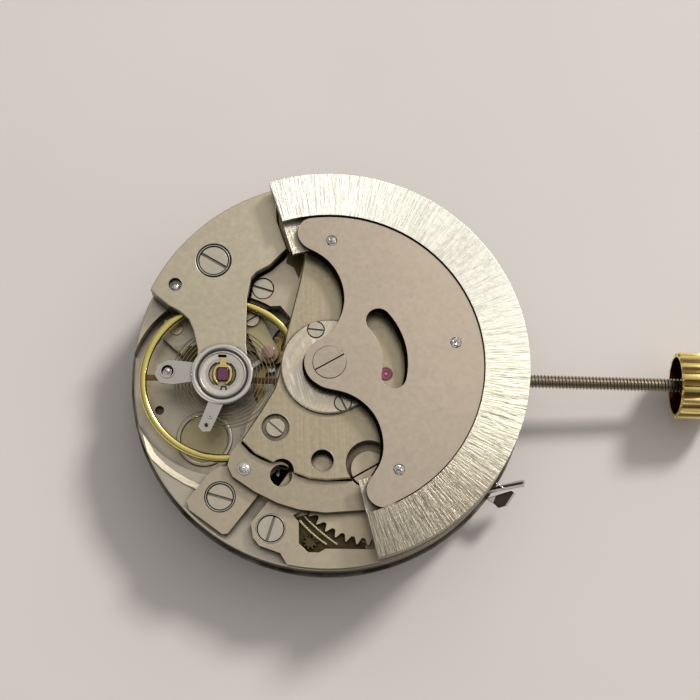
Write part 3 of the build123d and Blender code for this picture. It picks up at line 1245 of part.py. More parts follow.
with BuildPart() as clutch:
    rod_gear(CLUTCH_TEETH, CLUTCH_R, 0.85 * CLUTCH_R, CLUTCH_X, CLUTCH_X + 0.3 * CLUTCH_L)
    rod(CLUTCH_NECK_R, CLUTCH_X, CLUTCH_X + CLUTCH_L)
    rod(CLUTCH_R, CLUTCH_X + 0.7 * CLUTCH_L, CLUTCH_X + CLUTCH_L)
    rod(STEM_CORE_R + CLEAR, CLUTCH_X - GAP, CLUTCH_X + CLUTCH_L + GAP, Mode.SUBTRACT)
clutch.part.label = "sliding_pinion"
export_step(clutch.part, "parts/sliding_pinion.step")

THREAD_DEPTH = 0.12
THREAD_TURNS = 50
THREAD_ENTRY = 1.4
GROOVE_CORE_R = 0.3
THREAD_X = CROWN_X + THREAD_ENTRY - THREAD_TURNS * THREAD_PITCH

with BuildPart() as stem:
    rod(STEM_CORE_R, STEM_IN_X, STEM_SHOULDER_X)
    rod(STEM_R, STEM_SHOULDER_X, STEM_OUT_X)
    rod(THREAD_R - THREAD_DEPTH, STEM_OUT_X, THREAD_X + THREAD_TURNS * THREAD_PITCH)
    rod(THREAD_R, STEM_OUT_X, THREAD_X)
    with BuildSketch(Plane.XZ) as ridges:
        with BuildLine():
            points = [(THREAD_X, STEM_Z)]
            for turn in range(THREAD_TURNS):
                start = THREAD_X + turn * THREAD_PITCH
                points.append((start, STEM_Z + THREAD_R - THREAD_DEPTH))
                points.append((start + THREAD_PITCH / 2, STEM_Z + THREAD_R))
            end = THREAD_X + THREAD_TURNS * THREAD_PITCH
            points += [(end, STEM_Z + THREAD_R - THREAD_DEPTH), (end, STEM_Z)]
            Polyline(*points, close=True)
        make_face()
    revolve(ridges.sketch, axis=Axis((0, 0, STEM_Z), (1, 0, 0)))
    rod(STEM_R, STEM_GROOVE_X - GROOVE_W / 2, STEM_GROOVE_X + GROOVE_W / 2, Mode.SUBTRACT)
    rod(GROOVE_CORE_R, STEM_GROOVE_X - GROOVE_W, STEM_GROOVE_X + GROOVE_W)
stem.part.label = "stem"
export_step(stem.part, "parts/stem.step")

CROWN_CAVITY = 2.2
CROWN_HUB_DROP = 0.5
CROWN_TOP_BEVEL = 0.4
CROWN_FOOT_BEVEL = 0.12
CROWN_HUB_R = 0.8
FLUTE_R = 0.17

with BuildPart() as crown:
    rod(CROWN_R, CROWN_X, CROWN_X + CROWN_L)
    chamfer(crown.faces().sort_by(Axis.X)[-1].edges(), CROWN_TOP_BEVEL)
    chamfer(crown.faces().sort_by(Axis.X)[0].edges(), CROWN_FOOT_BEVEL)
    rod(CROWN_R - CROWN_WALL, CROWN_X - GAP, CROWN_X + CROWN_CAVITY, Mode.SUBTRACT)
    rod(CROWN_HUB_R, CROWN_X + CROWN_HUB_DROP, CROWN_X + CROWN_CAVITY + GAP)
    rod(THREAD_R + CLEAR, CROWN_X - GAP, CROWN_X + CROWN_CAVITY, Mode.SUBTRACT)
    with BuildSketch(Plane.YZ.offset(CROWN_X - GAP)) as flutes:
        with Locations((0, STEM_Z)):
            with PolarLocations(CROWN_R + GAP, FLUTES):
                Circle(FLUTE_R)
    extrude(flutes.sketch, amount=CROWN_L, mode=Mode.SUBTRACT)
crown.part.label = "crown"
export_step(crown.part, "parts/crown.step")

with BuildPart() as crown_wheel:
    gear(CROWN_WHEEL, CROWN_WHEEL_TEETH, CROWN_WHEEL_R, RATCHET_Z, RATCHET_Z + RATCHET_T)
    disc(CROWN_WHEEL, CROWN_BOSS_R + CLEAR, RATCHET_Z - GAP, RATCHET_Z + RATCHET_T + GAP, Mode.SUBTRACT)
crown_wheel.part.label = "crown_wheel"
export_step(crown_wheel.part, "parts/crown_wheel.step")

PIVOT_BOSS_R = 0.45

with BuildPart() as setting_lever:
    arm_between(LEVER_PIVOT, LEVER_PIN, LEVER_W, LEVER_Z, LEVER_Z + LEVER_T)
    disc(LEVER_PIVOT, PIVOT_BOSS_R, LEVER_Z, LEVER_Z + LEVER_T)
    disc(LEVER_PIN, LEVER_PIN_R, LEVER_Z, STEM_Z - GROOVE_CORE_R - GAP)
setting_lever.part.label = "setting_lever"
export_step(setting_lever.part, "parts/setting_lever.step")

with BuildPart() as yoke:
    arm_between(YOKE_PIVOT, YOKE_PIN, YOKE_W, LEVER_Z, LEVER_Z + LEVER_T)
    disc(YOKE_PIVOT, PIVOT_BOSS_R, LEVER_Z, LEVER_Z + LEVER_T)
    disc(YOKE_PIN, YOKE_PIN_R, LEVER_Z, STEM_Z - CLUTCH_NECK_R - 2 * CLEAR)
yoke.part.label = "yoke"
export_step(yoke.part, "parts/yoke.step")

CLICK = at(-0.09, -1.11)
CLICK_NOSE = around(BARREL, RATCHET_WALL_R + 2 * CLEAR, 228)
CLICK_T = 0.25
CLICK_W = 0.36
CLICK_HUB_R = 0.32

with BuildPart() as click:
    arm_between(CLICK, CLICK_NOSE, CLICK_W, RATCHET_Z, RATCHET_Z + CLICK_T)
    disc(CLICK, CLICK_HUB_R, RATCHET_Z, RATCHET_Z + CLICK_T)
click.part.label = "click"
export_step(click.part, "parts/click.step")

CLICK_SPRING = ((-0.15, -0.99), (-0.138, -1.1))
CLICK_SPRING_W = 0.1

with BuildPart() as click_spring:
    arm_between(*outline(CLICK_SPRING), CLICK_SPRING_W, RATCHET_Z - GAP, RATCHET_Z + WHEEL_T)
click_spring.part.label = "click_spring"
export_step(click_spring.part, "parts/click_spring.step")

# Automatic winding train
REVERSER_BORE_R = 0.16
REVERSER_HUB_R = 0.8
REVERSER_ARM_W = 0.3

with BuildPart() as reversing_wheel:
    gear(REVERSER, REVERSER_TEETH, REVERSER_R, REVERSER_Z, REVERSER_Z + WHEEL_T)
    disc(REVERSER, REVERSER_BORE_R, REVERSER_Z - GAP, REVERSER_Z + WHEEL_T + GAP, Mode.SUBTRACT)
    windows(REVERSER, REVERSER_HUB_R, 0.8 * REVERSER_R, 5, REVERSER_ARM_W, REVERSER_Z - GAP,
            REVERSER_Z + WHEEL_T + GAP)
reversing_wheel.part.label = "reversing_wheel"
export_step(reversing_wheel.part, "parts/reversing_wheel.step")

with BuildPart() as reversing_pinion:
    disc(REVERSER, PIVOT_R, LOWER_AUTO_BASE, AUTO_TOP - CLEAR)
    gear(REVERSER, REVERSER_PINION_TEETH, REVERSER_PINION_R, AUTO_FLOOR + CLEAR, REVERSER_Z - CLEAR)
reversing_pinion.part.label = "reversing_pinion"
export_step(reversing_pinion.part, "parts/reversing_pinion.step")

with BuildPart() as reduction:
    disc(REDUCTION, PIVOT_R, PLATE_TOP + GAP, REDUCTION_Z)
    disc(REDUCTION, ARBOR_R, RATCHET_Z, REDUCTION_Z + WHEEL_T)
    gear(REDUCTION, RATCHET_PINION_TEETH, REDUCTION_SPAN - RATCHET_R, RATCHET_Z, RATCHET_Z + RATCHET_T)
    gear(REDUCTION, REDUCTION_TEETH, REDUCTION_R, REDUCTION_Z, REDUCTION_Z + WHEEL_T)
reduction.part.label = "reduction_wheel"
export_step(reduction.part, "parts/reduction_wheel.step")

# Rotor
RIVET_R = 0.35
RIVETS = (90.6, 10.8, -56.4)
RIVET_REACH = 0.815 * LAYOUT_R
HUB_DROP = 0.2
SCREW_SEAT = SHEET_BASE + HUB_DROP
HUB_BASE = SHEET_BASE - HUB_DROP
HORN_R = 0.25

with BuildPart() as sheet:
    with BuildSketch(Plane.XY.offset(SHEET_BASE)) as face:
        with BuildLine():
            rim = outline(SHEET_SHARES)
            Spline(*rim)
            ThreePointArc(rim[-1], around(CENTRE, SHEET_R, 17), rim[0])
        make_face()
        fillet(face.vertices().filter_by_position(Axis.Y, -0.9 * LAYOUT_R, 0.9 * LAYOUT_R), HORN_R)
    extrude(face.sketch, amount=SHEET_TOP - SHEET_BASE)
    disc(CENTRE, HUB_R, HUB_BASE, SHEET_TOP)
    with BuildSketch(Plane.XY.offset(SHEET_BASE - GAP)) as kidney:
        SlotArc(CenterArc(CENTRE, KIDNEY_R, -11, 54), KIDNEY_W)
    extrude(kidney.sketch, amount=SHEET_TOP, mode=Mode.SUBTRACT)
    disc(CENTRE, ROTOR_SCREW_R + CLEAR, SCREW_SEAT, SHEET_TOP + GAP, Mode.SUBTRACT)
    disc(CENTRE, AXLE_R + CLEAR, HUB_BASE - GAP, SHEET_TOP, Mode.SUBTRACT)
    for angle in RIVETS:
        disc(around(CENTRE, RIVET_REACH, angle), RIVET_R, SHEET_BASE - GAP, SHEET_TOP + GAP, Mode.SUBTRACT)
sheet.part.label = "rotor_sheet"
export_step(sheet.part, "parts/rotor_sheet.step")


def sector(inner, outer, low, high):
    with BuildSketch(Plane.XY.offset(low)) as face:
        with BuildLine():
            CenterArc(CENTRE, outer, ROTOR_START, ROTOR_SWEEP)
            CenterArc(CENTRE, inner, ROTOR_START, ROTOR_SWEEP)
            for angle in (ROTOR_START, ROTOR_START + ROTOR_SWEEP):
                Line(around(CENTRE, inner, angle), around(CENTRE, outer, angle))
        make_face()
    extrude(face.sketch, amount=high - low)


with BuildPart() as weight:
    sector(RING_IN_R, ROTOR_R, RING_BASE, RING_TOP)
    sector(LEDGE_IN_R, RING_IN_R + GAP, LEDGE_BASE, SHEET_BASE)
    for angle in RIVETS:
        disc(around(CENTRE, RIVET_REACH, angle), RIVET_R, LEDGE_BASE - GAP, SHEET_TOP, Mode.SUBTRACT)
weight.part.label = "rotor_weight"
export_step(weight.part, "parts/rotor_weight.step")

with BuildPart() as rivets:
    for angle in RIVETS:
        disc(around(CENTRE, RIVET_REACH, angle), RIVET_R - CLEAR / 2, LEDGE_BASE, SHEET_TOP + CLEAR)
rivets.part.label = "rotor_rivets"
export_step(rivets.part, "parts/rotor_rivets.step")

ROTOR_SHANK_R = 0.28
ROTOR_SCREW_L = 0.9

with BuildPart() as axle:
    disc(CENTRE, AXLE_R, REVERSER_Z - GAP, SCREW_SEAT - CLEAR)
    disc(CENTRE, RACE_IN_R, AUTO_TOP + GAP, HUB_BASE)
    gear(CENTRE, ROTOR_PINION_TEETH, ROTOR_PINION_R, REVERSER_Z - CLEAR, LOWER_AUTO_TOP - CLEAR)
    disc(CENTRE, ROTOR_SHANK_R + CLEAR, AUTO_TOP, SCREW_SEAT, Mode.SUBTRACT)
axle.part.label = "rotor_axle"
export_step(axle.part, "parts/rotor_axle.step")

with BuildPart() as rotor_screw:
    screw(CENTRE, ROTOR_SCREW_R, SCREW_SEAT, SHEET_TOP + GAP - SCREW_SEAT, ROTOR_SHANK_R,
          ROTOR_SCREW_L, 31)
rotor_screw.part.label = "rotor_screw"
export_step(rotor_screw.part, "parts/rotor_screw.step")

# Dial side
CANNON_GEAR_R = MOTION_SPAN * CANNON_TEETH / (CANNON_TEETH + MINUTE_TEETH)
MINUTE_R = MOTION_SPAN * MINUTE_TEETH / (CANNON_TEETH + MINUTE_TEETH)
MINUTE_PINION_R = MOTION_SPAN * MINUTE_PINION_TEETH / (MINUTE_PINION_TEETH + HOUR_TEETH)
HOUR_R = MOTION_SPAN * HOUR_TEETH / (MINUTE_PINION_TEETH + HOUR_TEETH)
HOUR_TOP = MINUTE_Z - 2 * CLEAR
DRIVE_PHASE = 3.7

with BuildPart() as cannon:
    disc(CENTRE, MINUTE_SEAT_R, MINUTE_TIP, MINUTE_TIP + MINUTE_SEAT_L)
    disc(CENTRE, CANNON_R, MINUTE_TIP + MINUTE_SEAT_L, HOUR_TOP)
    gear(CENTRE, CANNON_TEETH, CANNON_GEAR_R, HOUR_TOP, CANNON_DRIVE_Z)
    gear(CENTRE, SECOND_DRIVE_TEETH, DRIVE_R, CANNON_DRIVE_Z, CANNON_DRIVE_Z + CANNON_DRIVE_T,
         DRIVE_PHASE)
    disc(CENTRE, CANNON_BORE_R, MINUTE_TIP - GAP, DIAL_RECESS_T, Mode.SUBTRACT)
cannon.part.label = "cannon_pinion"
export_step(cannon.part, "parts/cannon_pinion.step")

with BuildPart() as minute:
    gear(MINUTE, MINUTE_TEETH, MINUTE_R, MINUTE_Z, MINUTE_Z + MOTION_T)
    gear(MINUTE, MINUTE_PINION_TEETH, MINUTE_PINION_R, HOUR_Z, MINUTE_Z)
    disc(MINUTE, MOTION_POST_R + CLEAR, HOUR_Z - GAP, MINUTE_Z + MOTION_T + GAP, Mode.SUBTRACT)
minute.part.label = "minute_wheel"
export_step(minute.part, "parts/minute_wheel.step")

with BuildPart() as hour:
    disc(CENTRE, HOUR_SEAT_R, HOUR_TIP, 0)
    disc(CENTRE, HOUR_PIPE_R, 0, HOUR_TOP)
    gear(CENTRE, HOUR_TEETH, HOUR_R, HOUR_Z, HOUR_Z + MOTION_T)
    gear(CENTRE, DATE_PINION_TEETH, DATE_MODULE * DATE_PINION_TEETH / 2, HOUR_Z + MOTION_T, HOUR_TOP)
    disc(CENTRE, HOUR_BORE_R, HOUR_TIP - GAP, MINUTE_Z, Mode.SUBTRACT)
hour.part.label = "hour_wheel"
export_step(hour.part, "parts/hour_wheel.step")

SETTING_CROWN_TEETH = 18
CROWN_TEETH_H = 0.1
CROWN_TEETH_Z = STEM_Z - CLUTCH_R - CROWN_TEETH_H

with BuildPart() as setting_wheel:
    gear(SETTING, SETTING_TEETH, SETTING_R, MINUTE_Z, MINUTE_Z + MOTION_T)
    disc(SETTING, SETTING_HUB_R, MINUTE_Z + MOTION_T, CROWN_TEETH_Z)
    gear(SETTING, SETTING_CROWN_TEETH, 0.97 * SETTING_HUB_R, CROWN_TEETH_Z, STEM_Z - CLUTCH_R)
setting_wheel.part.label = "setting_wheel"
export_step(setting_wheel.part, "parts/setting_wheel.step")

with BuildPart() as date_idler:
    gear(DATE_IDLER, DATE_IDLER_TEETH, DATE_MODULE * DATE_IDLER_TEETH / 2, DATE_WHEEL_Z,
         DATE_WHEEL_Z + MOTION_T)
    disc(DATE_IDLER, MOTION_POST_R + CLEAR, DATE_WHEEL_Z - GAP, DATE_WHEEL_Z + MOTION_T + GAP,
         Mode.SUBTRACT)
date_idler.part.label = "date_idler"
export_step(date_idler.part, "parts/date_idler.step")

DATE_FINGER_L = 2.5
DATE_FINGER_W = 0.4

with BuildPart() as date_wheel:
    gear(DATE_WHEEL, DATE_TEETH, DATE_MODULE * DATE_TEETH / 2, DATE_WHEEL_Z, DATE_WHEEL_Z + MOTION_T)
    arm_between(DATE_WHEEL, around(DATE_WHEEL, DATE_FINGER_L, 100), DATE_FINGER_W, HOUR_Z, DATE_WHEEL_Z)
    disc(DATE_WHEEL, MOTION_POST_R + CLEAR, HOUR_Z - GAP, DATE_WHEEL_Z + MOTION_T + GAP, Mode.SUBTRACT)
date_wheel.part.label = "date_wheel"
export_step(date_wheel.part, "parts/date_wheel.step")

with BuildPart() as date_ring:
    ring(CENTRE, DATE_RING_IN_R, DATE_RING_OUT_R, DATE_RING_Z, DATE_RING_Z + DATE_RING_T)
    teeth_z = DATE_RING_Z + DATE_TOOTH_STEP
    ring(CENTRE, DATE_TOOTH_R, DATE_RING_IN_R + GAP, teeth_z, DATE_RING_Z + DATE_RING_T)
    with BuildSketch(Plane.XY.offset(teeth_z - GAP)) as gaps:
        with PolarLocations(DATE_TOOTH_R + GAP, DATES):
            RegularPolygon(DATE_GAP_R, 3, rotation=180)
    extrude(gaps.sketch, amount=DATE_RING_T, mode=Mode.SUBTRACT)
date_ring.part.label = "date_ring"
export_step(date_ring.part, "parts/date_ring.step")

CALENDAR_SCREW_R = 0.45
CALENDAR_SINK = 0.08
CALENDAR_SLOT_W = 0.1

with BuildPart() as calendar_plate:
    disc(CENTRE, CALENDAR_R, CALENDAR_Z, CALENDAR_Z + CALENDAR_T)
    disc(CENTRE, HOUR_PIPE_R + PIPE_ROOM, CALENDAR_Z - GAP, CALENDAR_Z + CALENDAR_T + GAP, Mode.SUBTRACT)
    for angle in POST_ANGLES:
        post = around(CENTRE, POST_REACH, angle)
        disc(post, CALENDAR_SCREW_R + CLEAR, CALENDAR_Z - GAP, CALENDAR_Z + CALENDAR_SINK, Mode.SUBTRACT)
        disc(post, CALENDAR_SHANK_R, CALENDAR_Z, CALENDAR_Z + CALENDAR_T + GAP, Mode.SUBTRACT)
calendar_plate.part.label = "calendar_plate"
export_step(calendar_plate.part, "parts/calendar_plate.step")

with BuildPart() as calendar_screws:
    for angle in POST_ANGLES:
        post = around(CENTRE, POST_REACH, angle)
        disc(post, CALENDAR_SCREW_R, 0, CALENDAR_Z + CALENDAR_SINK)
        disc(post, CALENDAR_SHANK_R - CLEAR, 0, DIAL_RECESS_T - 2 * GAP)
        slot(post, angle, 2 * CALENDAR_SCREW_R + CLEAR, CALENDAR_SLOT_W, GAP, CALENDAR_SLOT_W)
calendar_screws.part.label = "calendar_screws"
export_step(calendar_screws.part, "parts/calendar_screws.step")

# The first clamp's lever points out of the case side, that of the second along it
for number, (angle, bend, reach, turns) in enumerate(CLAMPS):
    pivot = around(CENTRE, CLAMP_REACH, angle)
    with BuildPart() as clamp:
        clamp_bar(pivot, angle + bend, reach, CLAMP_W, CLAMP_Z, CLAMP_Z + CLAMP_T)
        disc(pivot, CLAMP_R, CLAMP_Z, CLAMP_Z + CLAMP_T)
        disc(pivot, CLAMP_POST_R + CLEAR, CLAMP_Z - GAP, CLAMP_Z + CLAMP_T + GAP, Mode.SUBTRACT)
    clamp.part.label = f"dial_foot_clamp_{number + 1}"
    export_step(clamp.part, f"parts/dial_foot_clamp_{number + 1}.step")
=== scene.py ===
import math
import random

import bmesh
import bpy
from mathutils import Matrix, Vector


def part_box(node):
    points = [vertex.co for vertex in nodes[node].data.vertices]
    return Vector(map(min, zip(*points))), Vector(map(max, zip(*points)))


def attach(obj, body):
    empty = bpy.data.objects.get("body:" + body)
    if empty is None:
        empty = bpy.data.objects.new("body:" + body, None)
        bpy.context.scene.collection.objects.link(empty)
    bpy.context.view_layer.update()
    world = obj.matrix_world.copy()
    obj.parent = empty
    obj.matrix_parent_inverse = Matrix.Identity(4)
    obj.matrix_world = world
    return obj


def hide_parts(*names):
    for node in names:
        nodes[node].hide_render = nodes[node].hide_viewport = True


MM = 0.001
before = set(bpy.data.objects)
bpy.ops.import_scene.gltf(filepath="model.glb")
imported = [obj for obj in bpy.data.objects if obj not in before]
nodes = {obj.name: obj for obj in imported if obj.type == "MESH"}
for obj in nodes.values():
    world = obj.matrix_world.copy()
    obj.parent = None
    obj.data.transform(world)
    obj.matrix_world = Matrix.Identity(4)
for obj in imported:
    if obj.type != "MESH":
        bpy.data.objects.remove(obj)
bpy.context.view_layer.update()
scene = bpy.context.scene

BARREL = (2.7, -6.4)
BALANCE = (-6.8, -0.7)
REVERSER = (3.64, -0.34)
PALLET = (-3.99, 1.25)
STUD = (-10.32, -0.57)
PLATE_SEAT = (-7.97, -4.33)
REGULATING_HOLE = (-2.85, -7.05)

# Levels on the frame
STEM_Z = 2.1
PLATE_TOP = 2.5
BRIDGE_TOP = 3.25
LOWER_TOP = 3.9
COCK_TOP = 4.15
AUTO_TOP = 4.3


# Materials
class Shader:
    """A node tree with short ways to add and join nodes."""

    def __init__(self, name):
        self.material = bpy.data.materials.new(name)
        self.material.use_nodes = True
        self.tree = self.material.node_tree
        self.bsdf = self.tree.nodes["Principled BSDF"]

    def add(self, kind, inputs=None, **settings):
        node = self.tree.nodes.new(kind)
        for key, value in settings.items():
            setattr(node, key, value)
        for key, value in (inputs or {}).items():
            self.put(node.inputs[key], value)
        return node

    def put(self, socket, value):
        if isinstance(value, bpy.types.NodeSocket):
            self.tree.links.new(value, socket)
        else:
            socket.default_value = value

    def math(self, operation, *values):
        node = self.add("ShaderNodeMath", operation=operation)
        for socket, value in zip(node.inputs, values):
            self.put(socket, value)
        return node.outputs[0]

    def split(self, vector):
        """The three parts of a vector."""
        return self.add("ShaderNodeSeparateXYZ", {0: vector}).outputs

    def distance(self, x, y):
        """The length of a vector of two parts."""
        return self.math("SQRT", self.math("ADD", self.math("MULTIPLY", x, x), self.math("MULTIPLY", y, y)))

    def normal(self):
        """The parts of the surface's normal, without its bumps."""
        return self.split(self.add("ShaderNodeNewGeometry").outputs["True Normal"])

    def place(self):
        """The point on the object, in millimetres."""
        coord = self.add("ShaderNodeTexCoord").outputs["Object"]
        node = self.add("ShaderNodeVectorMath", {0: coord, 3: 1 / MM}, operation="SCALE")
        return node.outputs[0]

    def grain_space(self, kind, angle, centre, across, along):
        """A space in which a noise stretches into brush marks."""
        point = self.place()
        if kind == "line":
            turned = self.add("ShaderNodeVectorRotate", {"Vector": point, "Angle": -math.radians(angle)})
            node = self.add("ShaderNodeVectorMath", {0: turned.outputs[0], 1: (along, across, across)},
                            operation="MULTIPLY")
            return node.outputs[0]
        if kind == "fine":
            node = self.add("ShaderNodeVectorMath", {0: point, 3: across}, operation="SCALE")
            return node.outputs[0]
        parts = self.split(point)
        x = self.math("SUBTRACT", parts[0], centre[0])
        y = self.math("SUBTRACT", parts[1], centre[1])
        turn = self.math("ARCTAN2", y, x)
        reach = self.distance(x, y)
        if kind == "radial":
            pair = (self.math("MULTIPLY", turn, across), self.math("MULTIPLY", reach, along))
        else:
            pair = (self.math("MULTIPLY", reach, across), self.math("MULTIPLY", turn, along))
        return self.add("ShaderNodeCombineXYZ", {0: pair[0], 1: pair[1], 2: parts[2]}).outputs[0]

    def noise(self, vector, scale=1, detail=3, roughness=0.6):
        node = self.add("ShaderNodeTexNoise", {"Vector": vector, "Scale": scale, "Detail": detail,
                                               "Roughness": roughness})
        return node.outputs["Fac"]

    def remap(self, value, low, high, to_low, to_high):
        node = self.add("ShaderNodeMapRange", {0: value, 1: low, 2: high, 3: to_low, 4: to_high})
        return node.outputs[0]

    def mix(self, factor, a, b, blend="MIX"):
        node = self.add("ShaderNodeMix", data_type="RGBA", blend_type=blend)
        self.put(node.inputs["Factor"], factor)
        self.put(node.inputs["A"], a)
        self.put(node.inputs["B"], b)
        return node.outputs["Result"]


def rgb(*values):
    """Linear colour of an sRGB colour given in 0 to 255."""
    shares = [v / 255 for v in values]
    return (*[s / 12.92 if s <= 0.04045 else ((s + 0.055) / 1.055) ** 2.4 for s in shares], 1)


def scaled(colour, share):
    """A colour brought down to a share of itself."""
    return (*[c * share for c in colour[:3]], 1)


# Screw slot floors: their levels, their painted shade, how near a point must be to count; the shade colour
SLOT_REACH = 0.004
SLOT_FLOORS = ((3.02, 0.35), (3.92, 0.35), (4.143, 0.3), (4.53, 0.8), (2.51, 0.85))
SHADE = (0.016, 0.012, 0.007, 1)


def openness(s, reach):
    """How open a point is to what stands round it, from 0 where it is shut in to 1."""
    return s.add("ShaderNodeAmbientOcclusion", {"Distance": reach * MM}, samples=6).outputs["AO"]


def metal(name, colour, rough, kind="fine", angle=0, centre=(0, 0), across=9, along=0.5, bump=0.02,
          streak=0.12, worn=0.1, wall=0.25, outer=0.45, sparse=0, corner_shade=0.9, reach=0.7, tint=None):
    """A brushed or grained metal.

    Its marks run by kind, across and along to the millimetre, and show in bump, roughness and, by streak,
    in colour; sparse adds deep scratches and worn dull specks. Its steep sides get painted shade, keeping
    a share, wall, of the top's colour, more where they are open, by outer. Corners within reach get painted
    shade, by the corner share, and so do the floors of screw slots. A tint changes the colour from place to
    place, in some looks with painted light and shade.
    """
    s = Shader(name)
    space = s.grain_space(kind, angle, centre, across, along)
    marks = s.noise(space, detail=4, roughness=0.7)
    cloud = s.noise(s.place(), scale=0.22, detail=3)
    specks = s.noise(s.place(), scale=3.5, detail=2)
    tone = s.mix(s.remap(marks, 0.3, 0.7, 0, 1), scaled(colour, 1 - streak * 2.2), colour)
    tone = s.mix(s.remap(cloud, 0.35, 0.7, 0, 0.6), tone, scaled(colour, 0.9))
    if sparse:
        deep = s.noise(space, scale=1.7, detail=2, roughness=0.5)
        tone = s.mix(s.remap(deep, 0.57, 0.68, 0, sparse), tone, scaled(colour, 0.16))
    level = s.split(s.place())[2]
    # Painted shade on the floors of screw slots
    slot_shade = 0
    for floor_z, share in SLOT_FLOORS:
        found = s.math("COMPARE", level, floor_z, SLOT_REACH)
        slot_shade = s.math("ADD", slot_shade, s.math("MULTIPLY", found, share))
    # Painted shade on steep sides, lighter where they are open
    side = s.remap(s.math("ABSOLUTE", s.normal()[2]), 0.12, 0.45, 1, 0)
    side = s.math("MULTIPLY", side, 1 - wall)
    if corner_shade:
        open_share = openness(s, reach)
        side = s.math("MULTIPLY", side, s.remap(open_share, 0.72, 0.97, 1, outer))
        # Painted shade in corners shut in by what stands round them
        crevice_shade = s.math("POWER", s.remap(open_share, 0.42, 0.86, 1, 0), 1.6)
        side = s.math("MAXIMUM", side, s.math("MULTIPLY", crevice_shade, corner_shade))
    shade_share = s.math("MAXIMUM", side, slot_shade)
    if tint:
        tone = tint(s, tone)
    tone = s.mix(shade_share, tone, SHADE)
    s.put(s.bsdf.inputs["Base Color"], tone)
    s.bsdf.inputs["Metallic"].default_value = 1
    polish = s.remap(marks, 0.3, 0.7, rough - 0.06, rough + 0.08)
    s.put(s.bsdf.inputs["Roughness"], s.math("ADD", polish, s.remap(specks, 0.4, 0.7, 0, worn)))
    rise = s.add("ShaderNodeBump", {"Strength": 1, "Distance": bump * MM, "Height": marks})
    s.put(s.bsdf.inputs["Normal"], rise.outputs[0])
    return s


def ring_tint(s, tone):
    """Painted highlight at the ring's upper right and painted shade away from it; its low ledge is plain."""
    node = s.add("ShaderNodeVectorMath", {0: s.place(), 1: (0.05, 0.08, 0)}, operation="DOT_PRODUCT")
    aim = node.outputs["Value"]
    tone = s.mix(s.remap(aim, -0.2, 0.42, 1, 0), tone, (0.42, 0.39, 0.37, 1), "MULTIPLY")
    tone = s.mix(s.remap(aim, 0.4, 0.9, 0, 0.72), tone, rgb(255, 252, 240))
    ledge = s.remap(s.split(s.place())[2], 5.3, 5.5, 0.85, 0)
    return s.mix(ledge, tone, rgb(196, 186, 166))


def rim_tint(s, tone):
    """Painted shade on the outer side of the casing rim, broken by lighter bands."""
    x, y, z = s.split(s.place())
    side = s.math("MULTIPLY", s.remap(s.distance(x, y), 12.7, 12.79, 0, 0.9), s.remap(z, 2.3, 2.45, 1, 0))
    flat = s.add("ShaderNodeVectorMath", {0: s.place(), 1: (0.35, 0.35, 5)}, operation="MULTIPLY")
    lines = s.remap(s.noise(flat.outputs[0]), 0.4, 0.62, 1, 0.45)
    return s.mix(s.math("MULTIPLY", side, lines), tone, rgb(44, 38, 28))


def cover_tint(s, tone):
    """Loose white strokes of a fine abrasive across the cover."""
    space = s.grain_space("line", 107, (0, 0), 7, 0.35)
    strokes = s.remap(s.noise(space, detail=1), 0.56, 0.64, 0, 1)
    where = s.remap(s.noise(s.place(), scale=0.55, detail=1), 0.38, 0.52, 0, 0.85)
    return s.mix(s.math("MULTIPLY", strokes, where), tone, rgb(255, 253, 246))


def crown_tint(s, tone):
    """Red brown inside the hollow crown, and brown painted shade at the roots of its flutes."""
    x, y, z = s.split(s.place())
    reach = s.distance(y, s.math("SUBTRACT", z, STEM_Z))
    along = s.math("SUBTRACT", 1, s.math("ABSOLUTE", s.normal()[0]))
    # Painted shade in the gullets between the flutes
    root = s.math("MULTIPLY", along, s.remap(reach, 2.04, 2.17, 0.85, 0))
    tone = s.mix(root, tone, rgb(104, 68, 22))
    hollow = s.math("MULTIPLY", s.remap(reach, 1.89, 1.95, 0.9, 0), s.remap(x, 25.03, 25.08, 1, 0))
    return s.mix(hollow, tone, rgb(172, 100, 72))


NICKEL = rgb(206, 196, 178)
STEEL = rgb(214, 208, 198)
GOLD = rgb(244, 226, 140)
BRASS = rgb(190, 158, 98)

plate_look = metal("nickel_plate", NICKEL, 0.34, across=26, bump=0.002, streak=0.03, wall=0.12, tint=rim_tint)
cock_look = metal("nickel_cock", rgb(209, 197, 172), 0.33, across=20, bump=0.0015, streak=0.02,
                  wall=0.05, outer=0.7, reach=0.5)
bridge_look = metal("nickel_bridge", rgb(203, 189, 165), 0.33, across=20, bump=0.0015, streak=0.02,
                    wall=0.03, outer=0.75, reach=0.5)
lower_look = metal("nickel_lower_bridge", rgb(194, 180, 156), 0.33, across=20, bump=0.0015, streak=0.02,
                   wall=0.03, outer=0.75, reach=0.5)
auto_look = metal("nickel_automatic", rgb(196, 182, 154), 0.33, kind="line", angle=93, across=11, along=0.06,
                  bump=0.0022, streak=0.035, wall=0.03, reach=0.35)
cover_look = metal("nickel_cover", rgb(232, 218, 194), 0.28, kind="line", angle=58, across=9, along=0.1,
                   bump=0.006, streak=0.05, wall=0.03, reach=0.4, tint=cover_tint)
sheet_look = metal("rotor_sheet_matte", rgb(190, 176, 158), 0.4, across=30, bump=0.002, streak=0.02,
                   wall=0.03, outer=0.9)
ring_look = metal("rotor_ring_brushed", rgb(254, 248, 226), 0.33, kind="radial", across=80, along=0.55,
                  bump=0.035, streak=0.11, worn=0.06, wall=0.3, sparse=0.68, tint=ring_tint)
screw_look = metal("screw_steel", rgb(216, 206, 186), 0.26, across=20, bump=0.0015, streak=0.03, wall=0.15,
                   corner_shade=0.68)
flush_look = metal("screw_flush", rgb(190, 177, 157), 0.36, across=26, bump=0.002, streak=0.02, wall=0.05)
